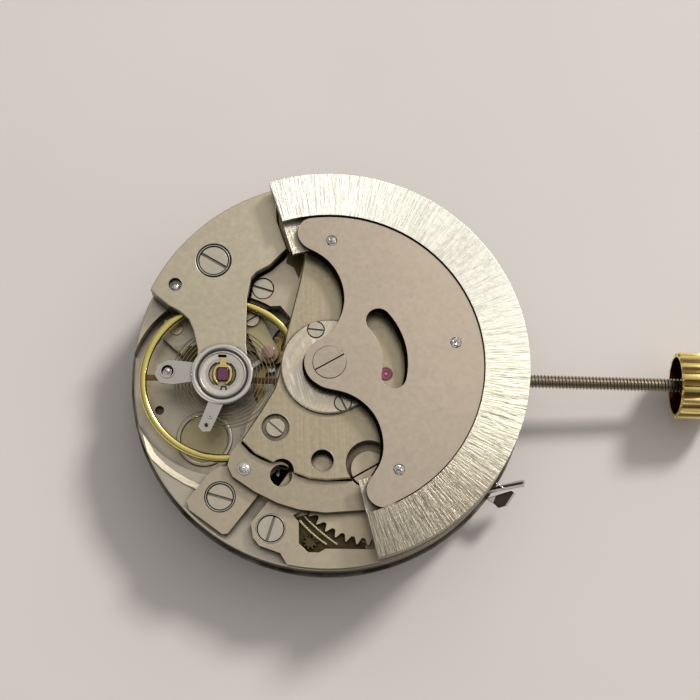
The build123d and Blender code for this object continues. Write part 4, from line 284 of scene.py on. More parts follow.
steel_look = metal("steel_polished", STEEL, 0.14, across=20, bump=0.001, streak=0.02, worn=0.04)
bright_look = metal("steel_bright", rgb(236, 232, 224), 0.1, across=18, bump=0.0006, streak=0.02, worn=0.03,
                    wall=0.9, corner_shade=0.6)
satin_look = metal("steel_satin", rgb(226, 218, 208), 0.3, across=20, bump=0.001, streak=0.02, wall=0.8,
                   corner_shade=0.7, reach=0.2)
lip_look = metal("nickel_lip", rgb(204, 194, 172), 0.34, kind="circle", centre=BALANCE, across=9, along=1.2,
                 bump=0.004, streak=0.08, wall=0.8, corner_shade=0)
thread_look = metal("steel_thread", rgb(176, 164, 142), 0.2, across=16, bump=0.001, streak=0.06, wall=1,
                    reach=0.15)
dark_steel_look = metal("steel_dark", rgb(70, 62, 54), 0.3, across=20, bump=0.003, streak=0.1)
# Black steel, and the black of sheets and feet that stand for painted shade
black_and_shade_look = metal("black_steel_and_shade", rgb(26, 22, 18), 0.5, across=20, bump=0.003, streak=0.1)
wheel_look = metal("steel_wheel", rgb(214, 199, 172), 0.33, across=20, bump=0.0015, streak=0.02)
pocket_look = metal("pocket_shaded", rgb(98, 86, 60), 0.35, across=14, bump=0.003, streak=0.1)
olive_look = metal("nickel_olive", rgb(188, 175, 138), 0.32, across=20, bump=0.002, streak=0.03, wall=0.15)
gold_look = metal("gold_balance", GOLD, 0.16, kind="circle", centre=BALANCE, across=10, along=1.2, bump=0.002,
                  streak=0.04, worn=0.03, wall=1, corner_shade=0.5, reach=0.3)
shade_gold_look = metal("gold_shaded", rgb(128, 98, 66), 0.3, across=14, bump=0.002, streak=0.06, wall=0.3)
dim_gold_look = metal("gold_spring", rgb(238, 214, 146), 0.18, across=14, bump=0.001, streak=0.04, wall=0.4,
                      corner_shade=0.6, reach=0.2)
crown_look = metal("gold_crown", rgb(255, 230, 150), 0.15, across=12, bump=0.001, streak=0.03, wall=1,
                   corner_shade=0.2, reach=0.3, tint=crown_tint)
brass_look = metal("brass_wheel", BRASS, 0.26, across=24, bump=0.003, streak=0.06)
spring_look = metal("spring_steel", rgb(150, 136, 108), 0.22, across=20, bump=0.001, streak=0.03, wall=0.7,
                    corner_shade=0)
white_look = metal("date_white", rgb(232, 230, 224), 0.5, across=30, bump=0.002, streak=0.01, wall=1,
                   corner_shade=0.6)
white_look.bsdf.inputs["Metallic"].default_value = 0
ink_look = metal("date_ink", rgb(24, 24, 26), 0.5, across=20, bump=0.001, streak=0.05, wall=1, corner_shade=0)
ink_look.bsdf.inputs["Metallic"].default_value = 0


RUBY = (rgb(112, 20, 62), rgb(160, 48, 100))


def ruby(name, deep, light):
    """A clear stone, clouded between two colours."""
    s = Shader(name)
    depth = s.noise(s.place(), scale=1.5, detail=2)
    s.put(s.bsdf.inputs["Base Color"], s.mix(depth, deep, light))
    s.bsdf.inputs["Roughness"].default_value = 0.08
    s.bsdf.inputs["IOR"].default_value = 1.76
    s.bsdf.inputs["Coat Weight"].default_value = 0.2
    s.put(s.bsdf.inputs["Normal"],
          s.add("ShaderNodeBump", {"Strength": 1, "Distance": 0.002 * MM, "Height": depth}).outputs[0])
    return s


def ringed_ruby(name, centre, rings):
    """A ruby whose oil sink shows as rings round its hole."""
    s = ruby(name, *RUBY)
    x, y, _ = s.split(s.place())
    reach = s.distance(s.math("SUBTRACT", x, centre[0]), s.math("SUBTRACT", y, centre[1]))
    ramp = s.add("ShaderNodeValToRGB", {0: reach})
    stops = ramp.color_ramp.elements
    stops[0].position, stops[0].color = rings[0]
    stops[1].position, stops[1].color = rings[-1]
    for place, colour in rings[1:-1]:
        stops.new(place).color = colour
    grain = s.remap(s.noise(s.place(), scale=5, detail=2), 0.4, 0.7, 0, 0.5)
    s.put(s.bsdf.inputs["Base Color"], s.mix(grain, ramp.outputs[0], rgb(96, 20, 52)))
    return s


ruby_look = ruby("ruby", *RUBY)
sink_look = ringed_ruby("ruby_sink", REVERSER, ((0.05, rgb(228, 170, 186)), (0.12, rgb(176, 62, 98)),
                                                (0.2, rgb(112, 20, 50)), (0.26, rgb(190, 84, 116)),
                                                (0.34, rgb(122, 26, 58)), (0.42, rgb(160, 62, 96))))
violet_look = ruby("ruby_violet", rgb(52, 8, 52), rgb(112, 20, 70))
dull_ruby_look = ruby("ruby_dull", rgb(150, 116, 104), rgb(172, 134, 118))

LOOKS = {
    plate_look: ("main_plate", "calendar_plate"),
    olive_look: ("pallet_bridge",),
    cock_look: ("balance_cock",),
    bridge_look: ("train_bridge", "barrel_bridge"),
    lower_look: ("automatic_lower_bridge",),
    auto_look: ("automatic_bridge",),
    cover_look: ("bearing_cover",),
    sheet_look: ("rotor_sheet",),
    ring_look: ("rotor_weight",),
    screw_look: ("bridge_screws", "automatic_screws", "cover_screws", "ratchet_screw", "rotor_screw",
                 "calendar_screws", "dowels", "rotor_rivets"),
    steel_look: ("regulator", "stud_carrier", "shock_blocks", "balance_staff", "rotor_axle", "pallet_fork",
                 "winding_pinion", "sliding_pinion", "setting_lever", "yoke", "click", "click_spring",
                 "cannon_pinion", "dial_foot_clamp_1", "dial_foot_clamp_2", "barrel_arbor",
                 "reversing_pinion"),
    thread_look: ("stem",),
    wheel_look: ("ratchet_wheel", "crown_wheel"),
    gold_look: ("shock_springs",),
    shade_gold_look: ("balance_wheel",),
    crown_look: ("crown",),
    brass_look: ("barrel_drum", "barrel_cover", "great_wheel", "third_wheel", "fourth_wheel", "escape_wheel",
                 "hour_wheel", "minute_wheel", "setting_wheel", "date_idler", "date_wheel",
                 "reduction_wheel", "reversing_wheel"),
    spring_look: ("hairspring", "mainspring"),
    white_look: ("date_ring",),
    ruby_look: ("jewels", "pallet_stones"),
}


def dress(node, look):
    """Gives a CAD node its material."""
    mesh = nodes[node].data
    mesh.materials.clear()
    mesh.materials.append(look.material)


for look, names in LOOKS.items():
    for name in names:
        dress(name, look)


# Edges of the CAD nodes
BEVELS = {
    "balance_cock": 0.06,
    "train_bridge": 0.05,
    "barrel_bridge": 0.04,
    "automatic_lower_bridge": 0.03,
    "bearing_cover": 0.02,
    "rotor_sheet": 0.05,
    "rotor_weight": 0.05,
    "regulator": 0.03,
    "stud_carrier": 0.03,
    "bridge_screws": 0.06,
    "cover_screws": 0.03,
    "automatic_screws": 0.03,
    "ratchet_wheel": 0.03,
}

for name, width in BEVELS.items():
    piece = nodes[name]
    weld = piece.modifiers.new("weld", "WELD")
    weld.merge_threshold = 0.002 * MM
    flat = piece.modifiers.new("flat", "DECIMATE")
    flat.decimate_type = "DISSOLVE"
    flat.angle_limit = math.radians(1)
    bevel = piece.modifiers.new("bevel", "BEVEL")
    bevel.width = width * MM
    bevel.segments = 2
    bevel.limit_method = "ANGLE"
    bevel.angle_limit = math.radians(40)
    bevel.harden_normals = True


# Pieces of the scene
def add_piece(name, mesh, body, look, hides=(), sharp=30, bevel=0):
    """Puts a mesh in the row frame, rides it on its body and smooths it up to an angle."""
    mesh.materials.append(look.material)
    obj = bpy.data.objects.new(name, mesh)
    scene.collection.objects.link(obj)
    mesh.shade_smooth()
    mesh.set_sharp_from_angle(angle=math.radians(sharp))
    if bevel:
        rounding = obj.modifiers.new("bevel", "BEVEL")
        rounding.width = bevel * MM
        rounding.segments = 2
        rounding.limit_method = "ANGLE"
        rounding.harden_normals = True
    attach(obj, body)
    if hides:
        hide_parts(*hides)
    return obj


def mesh_of(name, points, faces):
    """A closed mesh from points in millimetres, its double points joined and its sides turned outward."""
    mesh = bpy.data.meshes.new(name)
    build = bmesh.new()
    verts = [build.verts.new([c * MM for c in p]) for p in points]
    for face in faces:
        build.faces.new([verts[i] for i in face])
    bmesh.ops.remove_doubles(build, verts=build.verts, dist=0.0005 * MM)
    bmesh.ops.recalc_face_normals(build, faces=build.faces)
    build.to_mesh(mesh)
    build.free()
    return mesh


def lathe(name, centre, profile, body, look, hides=(), steps=96, along_x=False, sharp=30):
    """A turned piece: a closed profile of (radius, level) pairs about an upright or lying axis."""
    points = []
    for step in range(steps):
        angle = 2 * math.pi * step / steps
        for radius, level in profile:
            a, b = radius * math.cos(angle), radius * math.sin(angle)
            if along_x:
                points.append((level, centre[0] + a, centre[1] + b))
            else:
                points.append((centre[0] + a, centre[1] + b, level))
    count = len(profile)
    faces = []
    for step in range(steps):
        other = (step + 1) % steps
        for i in range(count):
            j = (i + 1) % count
            if profile[i][0] == 0 and profile[j][0] == 0:
                continue
            a, b = step * count + i, step * count + j
            c, d = other * count + j, other * count + i
            if profile[i][0] == 0:
                faces.append((a, b, c))
            elif profile[j][0] == 0:
                faces.append((a, b, d))
            else:
                faces.append((a, b, c, d))
    return add_piece(name, mesh_of(name, points, faces), body, look, hides, sharp)


def plate(name, outline, low, high, body, look, hides=(), bevel=0.02):
    """A flat piece cut from sheet, with broken edges."""
    count = len(outline)
    points = [(x, y, low) for x, y in outline] + [(x, y, high) for x, y in outline]
    faces = [tuple(range(count))[::-1], tuple(range(count, 2 * count))]
    faces += [(i, (i + 1) % count, count + (i + 1) % count, count + i) for i in range(count)]
    return add_piece(name, mesh_of(name, points, faces), body, look, hides, bevel=bevel)


def polar(centre, radius, degrees):
    """A point at a distance and a direction from a centre."""
    angle = math.radians(degrees)
    return (centre[0] + radius * math.cos(angle), centre[1] + radius * math.sin(angle))


def rounded(start, end, top, edge, base):
    """The profile of a ring with softly rounded shoulders."""
    steps = [(0, 1), (0.13, 0.5), (0.5, 0.13), (1, 0)]
    rise = [(start + edge * a, top - edge * b) for a, b in steps]
    fall = [(end - edge * a, top - edge * b) for a, b in reversed(steps)]
    return [(start, base)] + rise + fall + [(end, base)]


def curved_strip(name, centre, radius, start, end, width, low, high, body, look):
    """A flat strip along a part of a circle."""
    steps = 20
    angles = [start + (end - start) * i / steps for i in range(steps + 1)]
    outline = [polar(centre, radius + width / 2, a) for a in angles]
    outline += [polar(centre, radius - width / 2, a) for a in reversed(angles)]
    return plate(name, outline, low, high, body, look)


lathe("regulator_rim", BALANCE, rounded(1.65, 2.0, 4.62, 0.16, 4.4), "regulator", bright_look)
lathe("stud_rim", BALANCE, rounded(1.54, 1.635, 4.52, 0.04, 4.36), "stud_carrier", dark_steel_look)
lathe("shock_body", BALANCE,
      [(0.9, 4.3), (1.5, 4.3), (1.5, 4.52), (1.47, 4.55), (1.43, 4.555), (1.4, 4.53), (1.38, 4.47),
       (0.93, 4.44), (0.9, 4.38)],
      "frame", satin_look)
lathe("shock_dish", BALANCE,
      [(0, 4.27), (0.89, 4.27), (0.89, 4.36), (0.8, 4.34), (0.55, 4.315), (0, 4.31)],
      "frame", olive_look)
for number, (start, end) in enumerate(((-62, 58), (118, 236)), 1):
    curved_strip(f"shock_clip_{number}", BALANCE, 0.86, start, end, 0.07, 4.36, 4.47,
                 "frame", dark_steel_look)


def shock_lyre():
    """The lyre spring over the jewel: a ring that narrows to two prongs, with its tab at the top."""
    cx, cy = BALANCE
    left = [(-0.2, 1.1), (-0.2, 0.66), (-0.38, 0.58), (-0.54, 0.4), (-0.61, 0), (-0.54, -0.38),
            (-0.36, -0.58), (-0.24, -0.68), (-0.22, -0.56), (-0.34, -0.44), (-0.42, -0.26), (-0.45, 0),
            (-0.42, 0.26), (-0.3, 0.44)]
    right = [(-x + 0.02, y) for x, y in reversed(left)]
    outline = [(cx + x, cy + y) for x, y in left + right]
    plate("shock_lyre", outline, 4.38, 4.49, "frame", dim_gold_look, ("shock_springs",),
          0.025)


shock_lyre()


def rounded_box(name, centre, half_x, half_y, low, high, corner, body, look, turn=0, bevel=0.03):
    """A flat block with round corners, turned by some degrees."""
    a = math.radians(turn)
    points = []
    for quarter in range(4):
        sx = 1 if quarter in (0, 3) else -1
        sy = 1 if quarter in (0, 1) else -1
        for step in range(4):
            angle = 90 * quarter + 30 * step
            x, y = polar((sx * (half_x - corner), sy * (half_y - corner)), corner, angle)
            points.append((centre[0] + x * math.cos(a) - y * math.sin(a),
                           centre[1] + x * math.sin(a) + y * math.cos(a)))
    return plate(name, points, low, high, body, look, bevel=bevel)


rounded_box("shock_jewel", (BALANCE[0] + 0.01, BALANCE[1]), 0.33, 0.42, 4.3, 4.47, 0.14,
            "frame", violet_look, bevel=0.06)
rounded_box("shock_gate", (BALANCE[0] - 0.06, BALANCE[1] + 1.2), 0.27, 0.09, 4.42, 4.475, 0.03,
            "frame", black_and_shade_look)
for side in (-1, 1):
    foot = (BALANCE[0] + 0.12 + side * 0.15, BALANCE[1] - 0.92)
    rounded_box(f"shock_foot_{(side + 3) // 2}", foot, 0.045, 0.13, 4.4, 4.5, 0.03,
                "frame", dark_steel_look, turn=side * 14)
rounded_box("shock_bar", (BALANCE[0] + 0.12, BALANCE[1] - 0.82), 0.17, 0.035, 4.4, 4.49, 0.02,
            "frame", dark_steel_look, turn=-8)


def stud_ball():
    """The ball on the stud, round to where it is cut off flat."""
    radius, level = 0.24, 4.33
    profile = [(0, level)]
    for degrees in range(0, 81, 10):
        angle = math.radians(degrees)
        profile.append((radius * math.cos(angle), level + radius * math.sin(angle)))
    profile.append((0, level + radius))
    lathe("stud_ball", STUD, profile, "stud_carrier", bright_look, steps=32, sharp=60)


stud_ball()

# The ring round the stud's ball, and the pins of the regulator
lathe("stud_seat", STUD,
      [(0.27, 4.33), (0.39, 4.33), (0.39, 4.365), (0.36, 4.38), (0.3, 4.375), (0.27, 4.34)],
      "stud_carrier", black_and_shade_look, steps=48)
lathe("stud_collar", STUD, rounded(0.39, 0.46, 4.4, 0.02, 4.33),
      "stud_carrier", bright_look, steps=48)
rounded_box("regulator_pin", (-7.66, -4.06), 0.1, 0.1, 4.5, 4.6, 0.02,
            "regulator", dark_steel_look, turn=20)
lathe("regulator_eye", (-7.46, -3.5), rounded(0.05, 0.14, 4.56, 0.03, 4.5),
      "regulator", bright_look, steps=32)

# The polished rim over the balance wheel's, and the stones that show their own shapes
lathe("balance_rim", BALANCE,
      [(4.95, 2.84), (5.43, 2.84), (5.44, 3.0), (5.43, 3.19), (5.39, 3.265), (5.32, 3.31), (5.21, 3.335),
       (5.1, 3.32), (5.0, 3.28), (4.95, 3.2), (4.94, 3.0)],
      "balance", gold_look, steps=160, sharp=60)
lathe("pallet_jewel", PALLET, [(0, 3.1), (0.44, 3.1), (0.44, 3.15), (0.4, 3.165), (0.2, 3.15), (0, 3.145)],
      "frame", dull_ruby_look, steps=48, sharp=50)
lathe("reverser_jewel", REVERSER,
      [(0, 4.25), (0.445, 4.25), (0.445, 4.33), (0.42, 4.345), (0.36, 4.34), (0.14, 4.3), (0.1, 4.3),
       (0.08, 4.33), (0, 4.335)],
      "frame", sink_look, steps=64, sharp=50)


def stem_thread():
    """The stem with a real helical thread, in place of the rings of the CAD part."""
    start, turns, pitch, steps = 12.95, 50, 0.225, 24
    root, crest = 0.33, 0.45
    profile = [(0, root), (0.28, crest), (0.5, crest), (0.78, root)]
    count, last = len(profile), turns * steps
    points, faces = [], []
    for step in range(last + 1):
        angle = 2 * math.pi * step / steps
        base = start + pitch * step / steps
        for share, radius in profile:
            points.append((base + share * pitch, radius * math.cos(angle), STEM_Z + radius * math.sin(angle)))
    for step in range(last):
        here, there = count * step, count * (step + 1)
        for i in range(count - 1):
            faces.append((here + i, here + i + 1, there + i + 1, there + i))
        if step + steps < last:
            after, later = count * (step + steps), count * (step + steps + 1)
            faces.append((here + count - 1, after, later, there + count - 1))
    mesh = mesh_of("stem_thread", points, faces)
    add_piece("stem_thread", mesh, "stem", thread_look, ("stem",), 50)
    rod = [(0, 4.0), (0.38, 4.0), (0.38, 8.9), (0.55, 8.9), (0.55, 9.4), (0.3, 9.4), (0.3, 10.2),
           (0.55, 10.2), (0.55, 12.9), (0.5, 12.95), (0.36, 13.0), (0.34, 24.1), (0, 24.15)]
    lathe("stem_rod", (0, STEM_Z), rod, "stem", thread_look, steps=48, along_x=True)


stem_thread()


def crown_shell():
    """The hollow crown with its broad flutes."""
    low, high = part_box("crown")
    start, end = low[0] / MM, high[0] / MM
    flutes, depth, outer, smooth, wall = 16, 0.2, 2.2, 1.6, 1.88
    bottom, tube_end = start + 2.2, start + 0.5
    shape = ((0, 0), (0.12, 0.02), (0.19, 0.12), (0.25, 0.5), (0.31, 0.86), (0.4, 0.97), (0.5, 1),
             (0.6, 0.97), (0.69, 0.86), (0.75, 0.5), (0.81, 0.12), (0.88, 0.02))
    outside = [(1.8, end), (2.04, end - 0.12), (outer, end - 0.4), (outer, start + 0.14),
               (2.17, start + 0.05), (2.09, start)]
    inside = [(wall, start), (wall, bottom), (0.8, bottom), (0.8, tube_end), (0.5, tube_end), (0.5, bottom),
              (0, bottom)]
    count = 1 + len(outside) + len(inside)
    points, faces = [], []
    for flute in range(flutes):
        for share, sunk in shape:
            angle = 2 * math.pi * (flute + share) / flutes - 0.03
            ring = [(0, end)]
            for radius, x in outside:
                ring.append((radius - depth * sunk * (radius - smooth) / (outer - smooth), x))
            ring += inside
            points += [(x, radius * math.cos(angle), STEM_Z + radius * math.sin(angle)) for radius, x in ring]
    steps = flutes * len(shape)
    for step in range(steps):
        a, b = step * count, (step + 1) % steps * count
        faces.append((a, a + 1, b + 1))
        faces += [(a + i, a + i + 1, b + i + 1, b + i) for i in range(1, count - 2)]
        faces.append((a + count - 2, a + count - 1, b + count - 2))
    mesh = mesh_of("crown_shell", points, faces)
    add_piece("crown_shell", mesh, "stem", crown_look, ("crown",), 35)


crown_shell()


def rivet(name, centre, radius, top, base, body, seed, hides=(), lumpy=1.0):
    """A pin with a hammered, uneven head."""
    rng = random.Random(seed)
    points, faces = [(*centre, top)], []
    rings, steps = 5, 20
    wobble = [rng.uniform(0.86, 1.0) for _ in range(steps)]
    for ring in range(1, rings + 1):
        for step in range(steps):
            reach = radius * ring / rings * (wobble[step] if ring > 1 else 1)
            lump = lumpy * radius * rng.uniform(-0.12, 0.1) if ring < rings else 0
            x, y = polar(centre, reach, 360 * step / steps)
            points.append((x, y, top + lump - 0.2 * radius * (ring / rings) ** 3))
    for step in range(steps):
        x, y = polar(centre, 0.86 * radius, 360 * step / steps)
        points.append((x, y, base))
    for step in range(steps):
        faces.append((1 + step, 1 + (step + 1) % steps, 0))
    for ring in range(rings):
        a, b = 1 + ring * steps, 1 + (ring + 1) * steps
        for step in range(steps):
            other = (step + 1) % steps
            faces.append((a + step, a + other, b + other, b + step))
    faces.append(tuple(1 + rings * steps + step for step in range(steps))[::-1])
    add_piece(name, mesh_of(name, points, faces), body, bright_look, hides, 20)


for number, angle in enumerate((90.6, 10.8, -56.4), 1):
    rivet(f"rotor_rivet_{number}", polar((0, 0), 8.15, angle), 0.345, 5.62, 4.8, "rotor",
          3 + number, ("rotor_rivets",) if number == 1 else ())
rivet("dowel_top_1", (-10.17, 5.2), 0.25, 3.98, 3.7, "frame", 11, lumpy=0.4)
rivet("dowel_top_2", (-5.2, -6.67), 0.36, 4.03, 3.6, "frame", 12, lumpy=0.4)


def ratchet():
    """The ratchet wheel with its deep, rounded gullets."""
    teeth, tip, root = 42, 4.84, 4.38
    shape = ((0, 0.04), (0.09, 0), (0.19, 0), (0.3, 0.12), (0.44, 0.62), (0.53, 0.93), (0.59, 1),
             (0.66, 0.93), (0.77, 0.6), (0.9, 0.2))
    outline = []
    for tooth in range(teeth):
        for share, height in shape:
            outline.append(polar(BARREL, root + (tip - root) * height, 360 * (tooth + share) / teeth))
    plate("ratchet_teeth", outline, 2.91, 3.2, "ratchet", wheel_look, ("ratchet_wheel",),
          0.03)


ratchet()


def ribbon(line, above, below):
    """The outline of a band that follows a line, its two sides at their own distances from it."""
    upper, lower = [], []
    for i, (x, y) in enumerate(line):
        x1, y1 = line[max(i - 1, 0)]
        x2, y2 = line[min(i + 1, len(line) - 1)]
        reach = math.hypot(x2 - x1, y2 - y1)
        nx, ny = -(y2 - y1) / reach, (x2 - x1) / reach
        upper.append((x + above * nx, y + above * ny))
        lower.append((x - below * nx, y - below * ny))
    return upper + lower[::-1]


def click_works():
    """The toothed click and two wire springs bowing across its pocket; click and floor in painted shade."""
    centre, teeth, tip, root = (-0.9, -11.1), 9, 0.47, 0.3
    outline = []
    for tooth in range(teeth):
        for share, radius in ((0, root), (0.2, tip), (0.5, tip), (0.7, root)):
            outline.append(polar(centre, radius, 360 * (tooth + share) / teeth))
    plate("click_wheel", outline, 2.9, 3.04, "click", pocket_look, ("click",), 0.03)
    arm = [(-0.85, -10.5), (-0.5, -10.75), (-0.15, -10.75), (-0.2, -11.0), (-0.6, -11.2)]
    plate("click_nose", arm, 2.9, 3.02, "click", pocket_look, bevel=0.03)
    # A dark sheet on the pocket's floor, painted shade
    floor = [(-1.95, -9.55), (-1.62, -9.9), (-1.57, -11.17), (-0.98, -11.7), (-0.36, -11.7), (0.08, -11.46),
             (2.6, -11.42), (2.6, -11.05), (1.3, -10.6), (0.2, -10), (-0.75, -9.2)]
    plate("click_pocket_shade", floor, 2.84, 2.865, "frame", pocket_look, bevel=0.005)
    bows = (((-1.62, -9.75), (-0.85, -10.62), (0.16, -11.25)),
            ((-1.3, -9.5), (-0.4, -10.45), (0.83, -11.23)))
    steps, half = 12, 0.055
    for number, (a, b, c) in enumerate(bows, 1):
        line = []
        for step in range(steps + 1):
            t = step / steps
            line.append([a[i] * (1 - t) ** 2 + 2 * b[i] * t * (1 - t) + c[i] * t * t for i in (0, 1)])
        plate(f"click_wire_{number}", ribbon(line, half, half), 3.21, 3.31, "frame", olive_look,
              ("click_spring",) if number == 1 else ())


click_works()


def slotted(name, centre, radius, low, high, depth, width, angle, body, look, slot):
    """A screw head: two halves with the slot between them, on a round black foot, painted shade in the slot.
    """
    floor_z = high - depth
    lathe(name + "_foot", centre, [(0, low), (radius, low), (radius, floor_z), (0, floor_z)],
          body, black_and_shade_look, (slot,), 64)
    lean = math.degrees(math.asin(width / 2 / radius))
    steps = 40
    for half, turn in (("a", angle), ("b", angle + 180)):
        start, spread = turn + lean, 180 - 2 * lean
        outline = [polar(centre, radius, start + spread * i / steps) for i in range(steps + 1)]
        plate(f"{name}_{half}", outline, floor_z - 0.01, high, body, look)


slotted("rotor_screw_head", (0, 0), 1.05, 5.3, 5.6, 0.14, 0.07, 31, "rotor", flush_look, "rotor_screw")
slotted("ratchet_screw_head", BARREL, 1.15, 3.2, 3.56, 0.12, 0.09, 31, "ratchet", wheel_look,
        "ratchet_screw")


def underlay():
    """A black copy of the rotor's sheet under it, set back towards the lower left: the sheet's painted
    shadow.
    """
    size, shift_x, shift_y, foot, thick = 0.99, -0.13, -0.11, 4.98, 0.15
    mesh = nodes["rotor_sheet"].data.copy()
    mesh.name = "rotor_underlay"
    mesh.materials.clear()
    low = min(v.co.z for v in mesh.vertices)
    high = max(v.co.z for v in mesh.vertices)
    for v in mesh.vertices:
        share = (v.co.z - low) / (high - low)
        v.co = Vector((v.co.x * size + shift_x * MM, v.co.y * size + shift_y * MM,
                       (foot + thick * share) * MM))
    add_piece("rotor_underlay", mesh, "rotor", black_and_shade_look)


underlay()

# Polished rims round the holes of the screws and the dowels: centre, radius and level of the bridge
HOLES = (
    ((-7.75, 7.04), 1.0, COCK_TOP),
    ((-6.67, -8.4), 0.87, BRIDGE_TOP),
    ((-3.4, -10.33), 0.87, BRIDGE_TOP),
    ((-3.3, -4.04), 0.88, AUTO_TOP),
    ((-5.2, -6.67), 0.42, LOWER_TOP),
    ((-10.17, 5.33), 0.42, COCK_TOP),
    ((-0.27, -6.1), 0.71, AUTO_TOP),
)
for number, (centre, radius, level) in enumerate(HOLES, 1):
    lathe(f"hole_rim_{number}", centre, rounded(radius, radius + 0.07, level + 0.015, 0.03, level - 0.05),
          "frame", steel_look, steps=72)

# A turned seat on the plate under the balance
lathe("plate_seat", PLATE_SEAT, rounded(1.55, 1.82, 1.64, 0.07, 1.4), "frame", plate_look)
lathe("plate_cup", PLATE_SEAT, [(0, 1.45), (1.52, 1.45), (1.52, 1.52), (1.1, 1.51), (0, 1.5)],
      "frame", olive_look)


def plate_lip():
    """The polished slope at the edge of the balance's recess, which widens to the lower right."""
    line = ((216, 6.3), (221, 6.5), (225, 6.72), (230, 6.88), (238, 6.98), (245.5, 7.07), (253, 7.2),
            (259, 7.32), (265, 7.39))
    widest, recess = 0.44, 6.2
    low, foot = PLATE_TOP - 0.04, PLATE_TOP + 0.01
    points, faces = [], []
    for angle, radius in line:
        width = min(widest, radius - recess)
        section = ((radius - width, low), (radius - width, foot), (radius - 0.04, foot + 0.2 * width),
                   (radius, foot - 0.02 + 0.17 * width), (radius, low))
        for reach, level in section:
            points.append((*polar(BALANCE, reach, angle), level))
    count = len(section)
    for step in range(len(line) - 1):
        here, there = count * step, count * (step + 1)
        for i in range(count):
            j = (i + 1) % count
            faces.append((here + i, here + j, there + j, there + i))
    faces += [tuple(range(count)), tuple(range(len(points) - count, len(points)))]
    add_piece("plate_lip", mesh_of("plate_lip", points, faces), "frame", lip_look)


plate_lip()


def crescent(name, centre, radius, shift, level):
    """A black crescent of painted shade at the upper side of a hole, round its floor."""
    reach = math.hypot(*shift)
    toward = math.degrees(math.atan2(-shift[1], -shift[0]))
    spread = math.degrees(math.acos(-reach / 2 / radius))
    steps = 24
    outer = [polar(centre, radius, toward + spread * (2 * i / steps - 1)) for i in range(steps + 1)]
    other = (centre[0] + shift[0], centre[1] + shift[1])
    inner = [polar(other, radius, toward + (180 - spread) * (1 - 2 * i / steps)) for i in range(1, steps)]
    plate(name, outer + inner, level, level + 0.02, "frame", black_and_shade_look, bevel=0.004)


crescent("hole_shade_1", (-0.27, -6.1), 0.715, (-0.03, -0.2), LOWER_TOP + 0.002)
crescent("hole_shade_2", (-3.3, -4.04), 0.885, (-0.09, -0.13), LOWER_TOP + 0.002)


# Painted shadow: a black strip along the foot of the automatic bridge. Painted shade by the cock,
# # and a block by the balance with painted shade beside it
BRIDGE_FOOT_LINE = [(-5.32, -4.9), (-4.74, -5.5), (-4.09, -5.87), (-3.6, -6.05), (-3.2, -5.99), (-2.76, -5.98),
       (-2.34, -6.2), (-2.08, -6.62), (-1.65, -6.9), (-1.02, -7.02), (-0.39, -7.08), (0.62, -7.13),
       (1.63, -7.09)]
plate("bridge_foot_shadow", ribbon(BRIDGE_FOOT_LINE, 0.12, 0.2), LOWER_TOP, LOWER_TOP + 0.02,
      "frame", black_and_shade_look, bevel=0.004)
plate("rotor_end_shadow", [(-3.04, 7.31), (-2.87, 8.08), (-1.82, 8.25), (-1.88, 7.5), (-2.15, 6.2), (-2.5, 7.0)],
      BRIDGE_TOP - 0.01, BRIDGE_TOP + 0.012, "frame", pocket_look, bevel=0.004)
plate("bank_block", [(-10.16, 1.56), (-9.1, 1.63), (-9.56, 0.94)], PLATE_TOP - 0.05, PLATE_TOP + 0.1,
      "frame", olive_look, bevel=0.03)
plate("bank_shade", [(-9.1, 1.63), (-8.6, 1.74), (-8.5, 0.9), (-8.79, 0.47), (-9.53, 0.55), (-9.56, 0.94)],
      PLATE_TOP - 0.05, PLATE_TOP + 0.03, "frame", pocket_look)

# The folded clamp at the right edge, and the block in the regulating hole
plate("clamp_wire", [(10.42, -7.37), (12.9, -6.87), (12.83, -6.72), (10.45, -7.22)], 1.36, 1.5, "frame",
      steel_look)
plate("clamp_wire_upper", [(10.46, -7.16), (12.8, -6.63), (12.79, -6.56), (10.5, -7.08)], 1.5, 1.56,
      "frame", dark_steel_look, bevel=0.01)
plate("clamp_fold",
      [(11.08, -7.44), (12.06, -7.1), (12.26, -7.23), (11.68, -8.1), (11.25, -8.25), (10.87, -7.9)],
      0.88, 1.12, "frame", dark_steel_look, bevel=0.05)
plate("clamp_fold_edge", [(12.22, -7.2), (12.34, -7.28), (11.77, -8.15), (11.66, -8.08)], 0.93, 1.13,
      "frame", steel_look)
plate("clamp_tab", [(10.38, -7.67), (11.08, -7.44), (10.88, -7.97)], 0.95, 1.13, "frame", steel_look,
      bevel=0.04)
plate("clamp_strip", [(10.9, -6.6), (11.02, -6.66), (11.56, -7.02), (11.48, -7.1)], 1.5, 1.6, "frame",
      bright_look)
plate("adjuster_block", [(-3.28, -6.72), (-3.1, -6.3), (-2.9, -6.36), (-3.02, -6.88)], 1.42, 2.3, "frame",
      steel_look, bevel=0.05)
lathe("adjuster_well", REGULATING_HOLE, [(0, 1.4), (0.68, 1.4), (0.68, 1.43), (0, 1.45)],
      "frame", black_and_shade_look, steps=48)


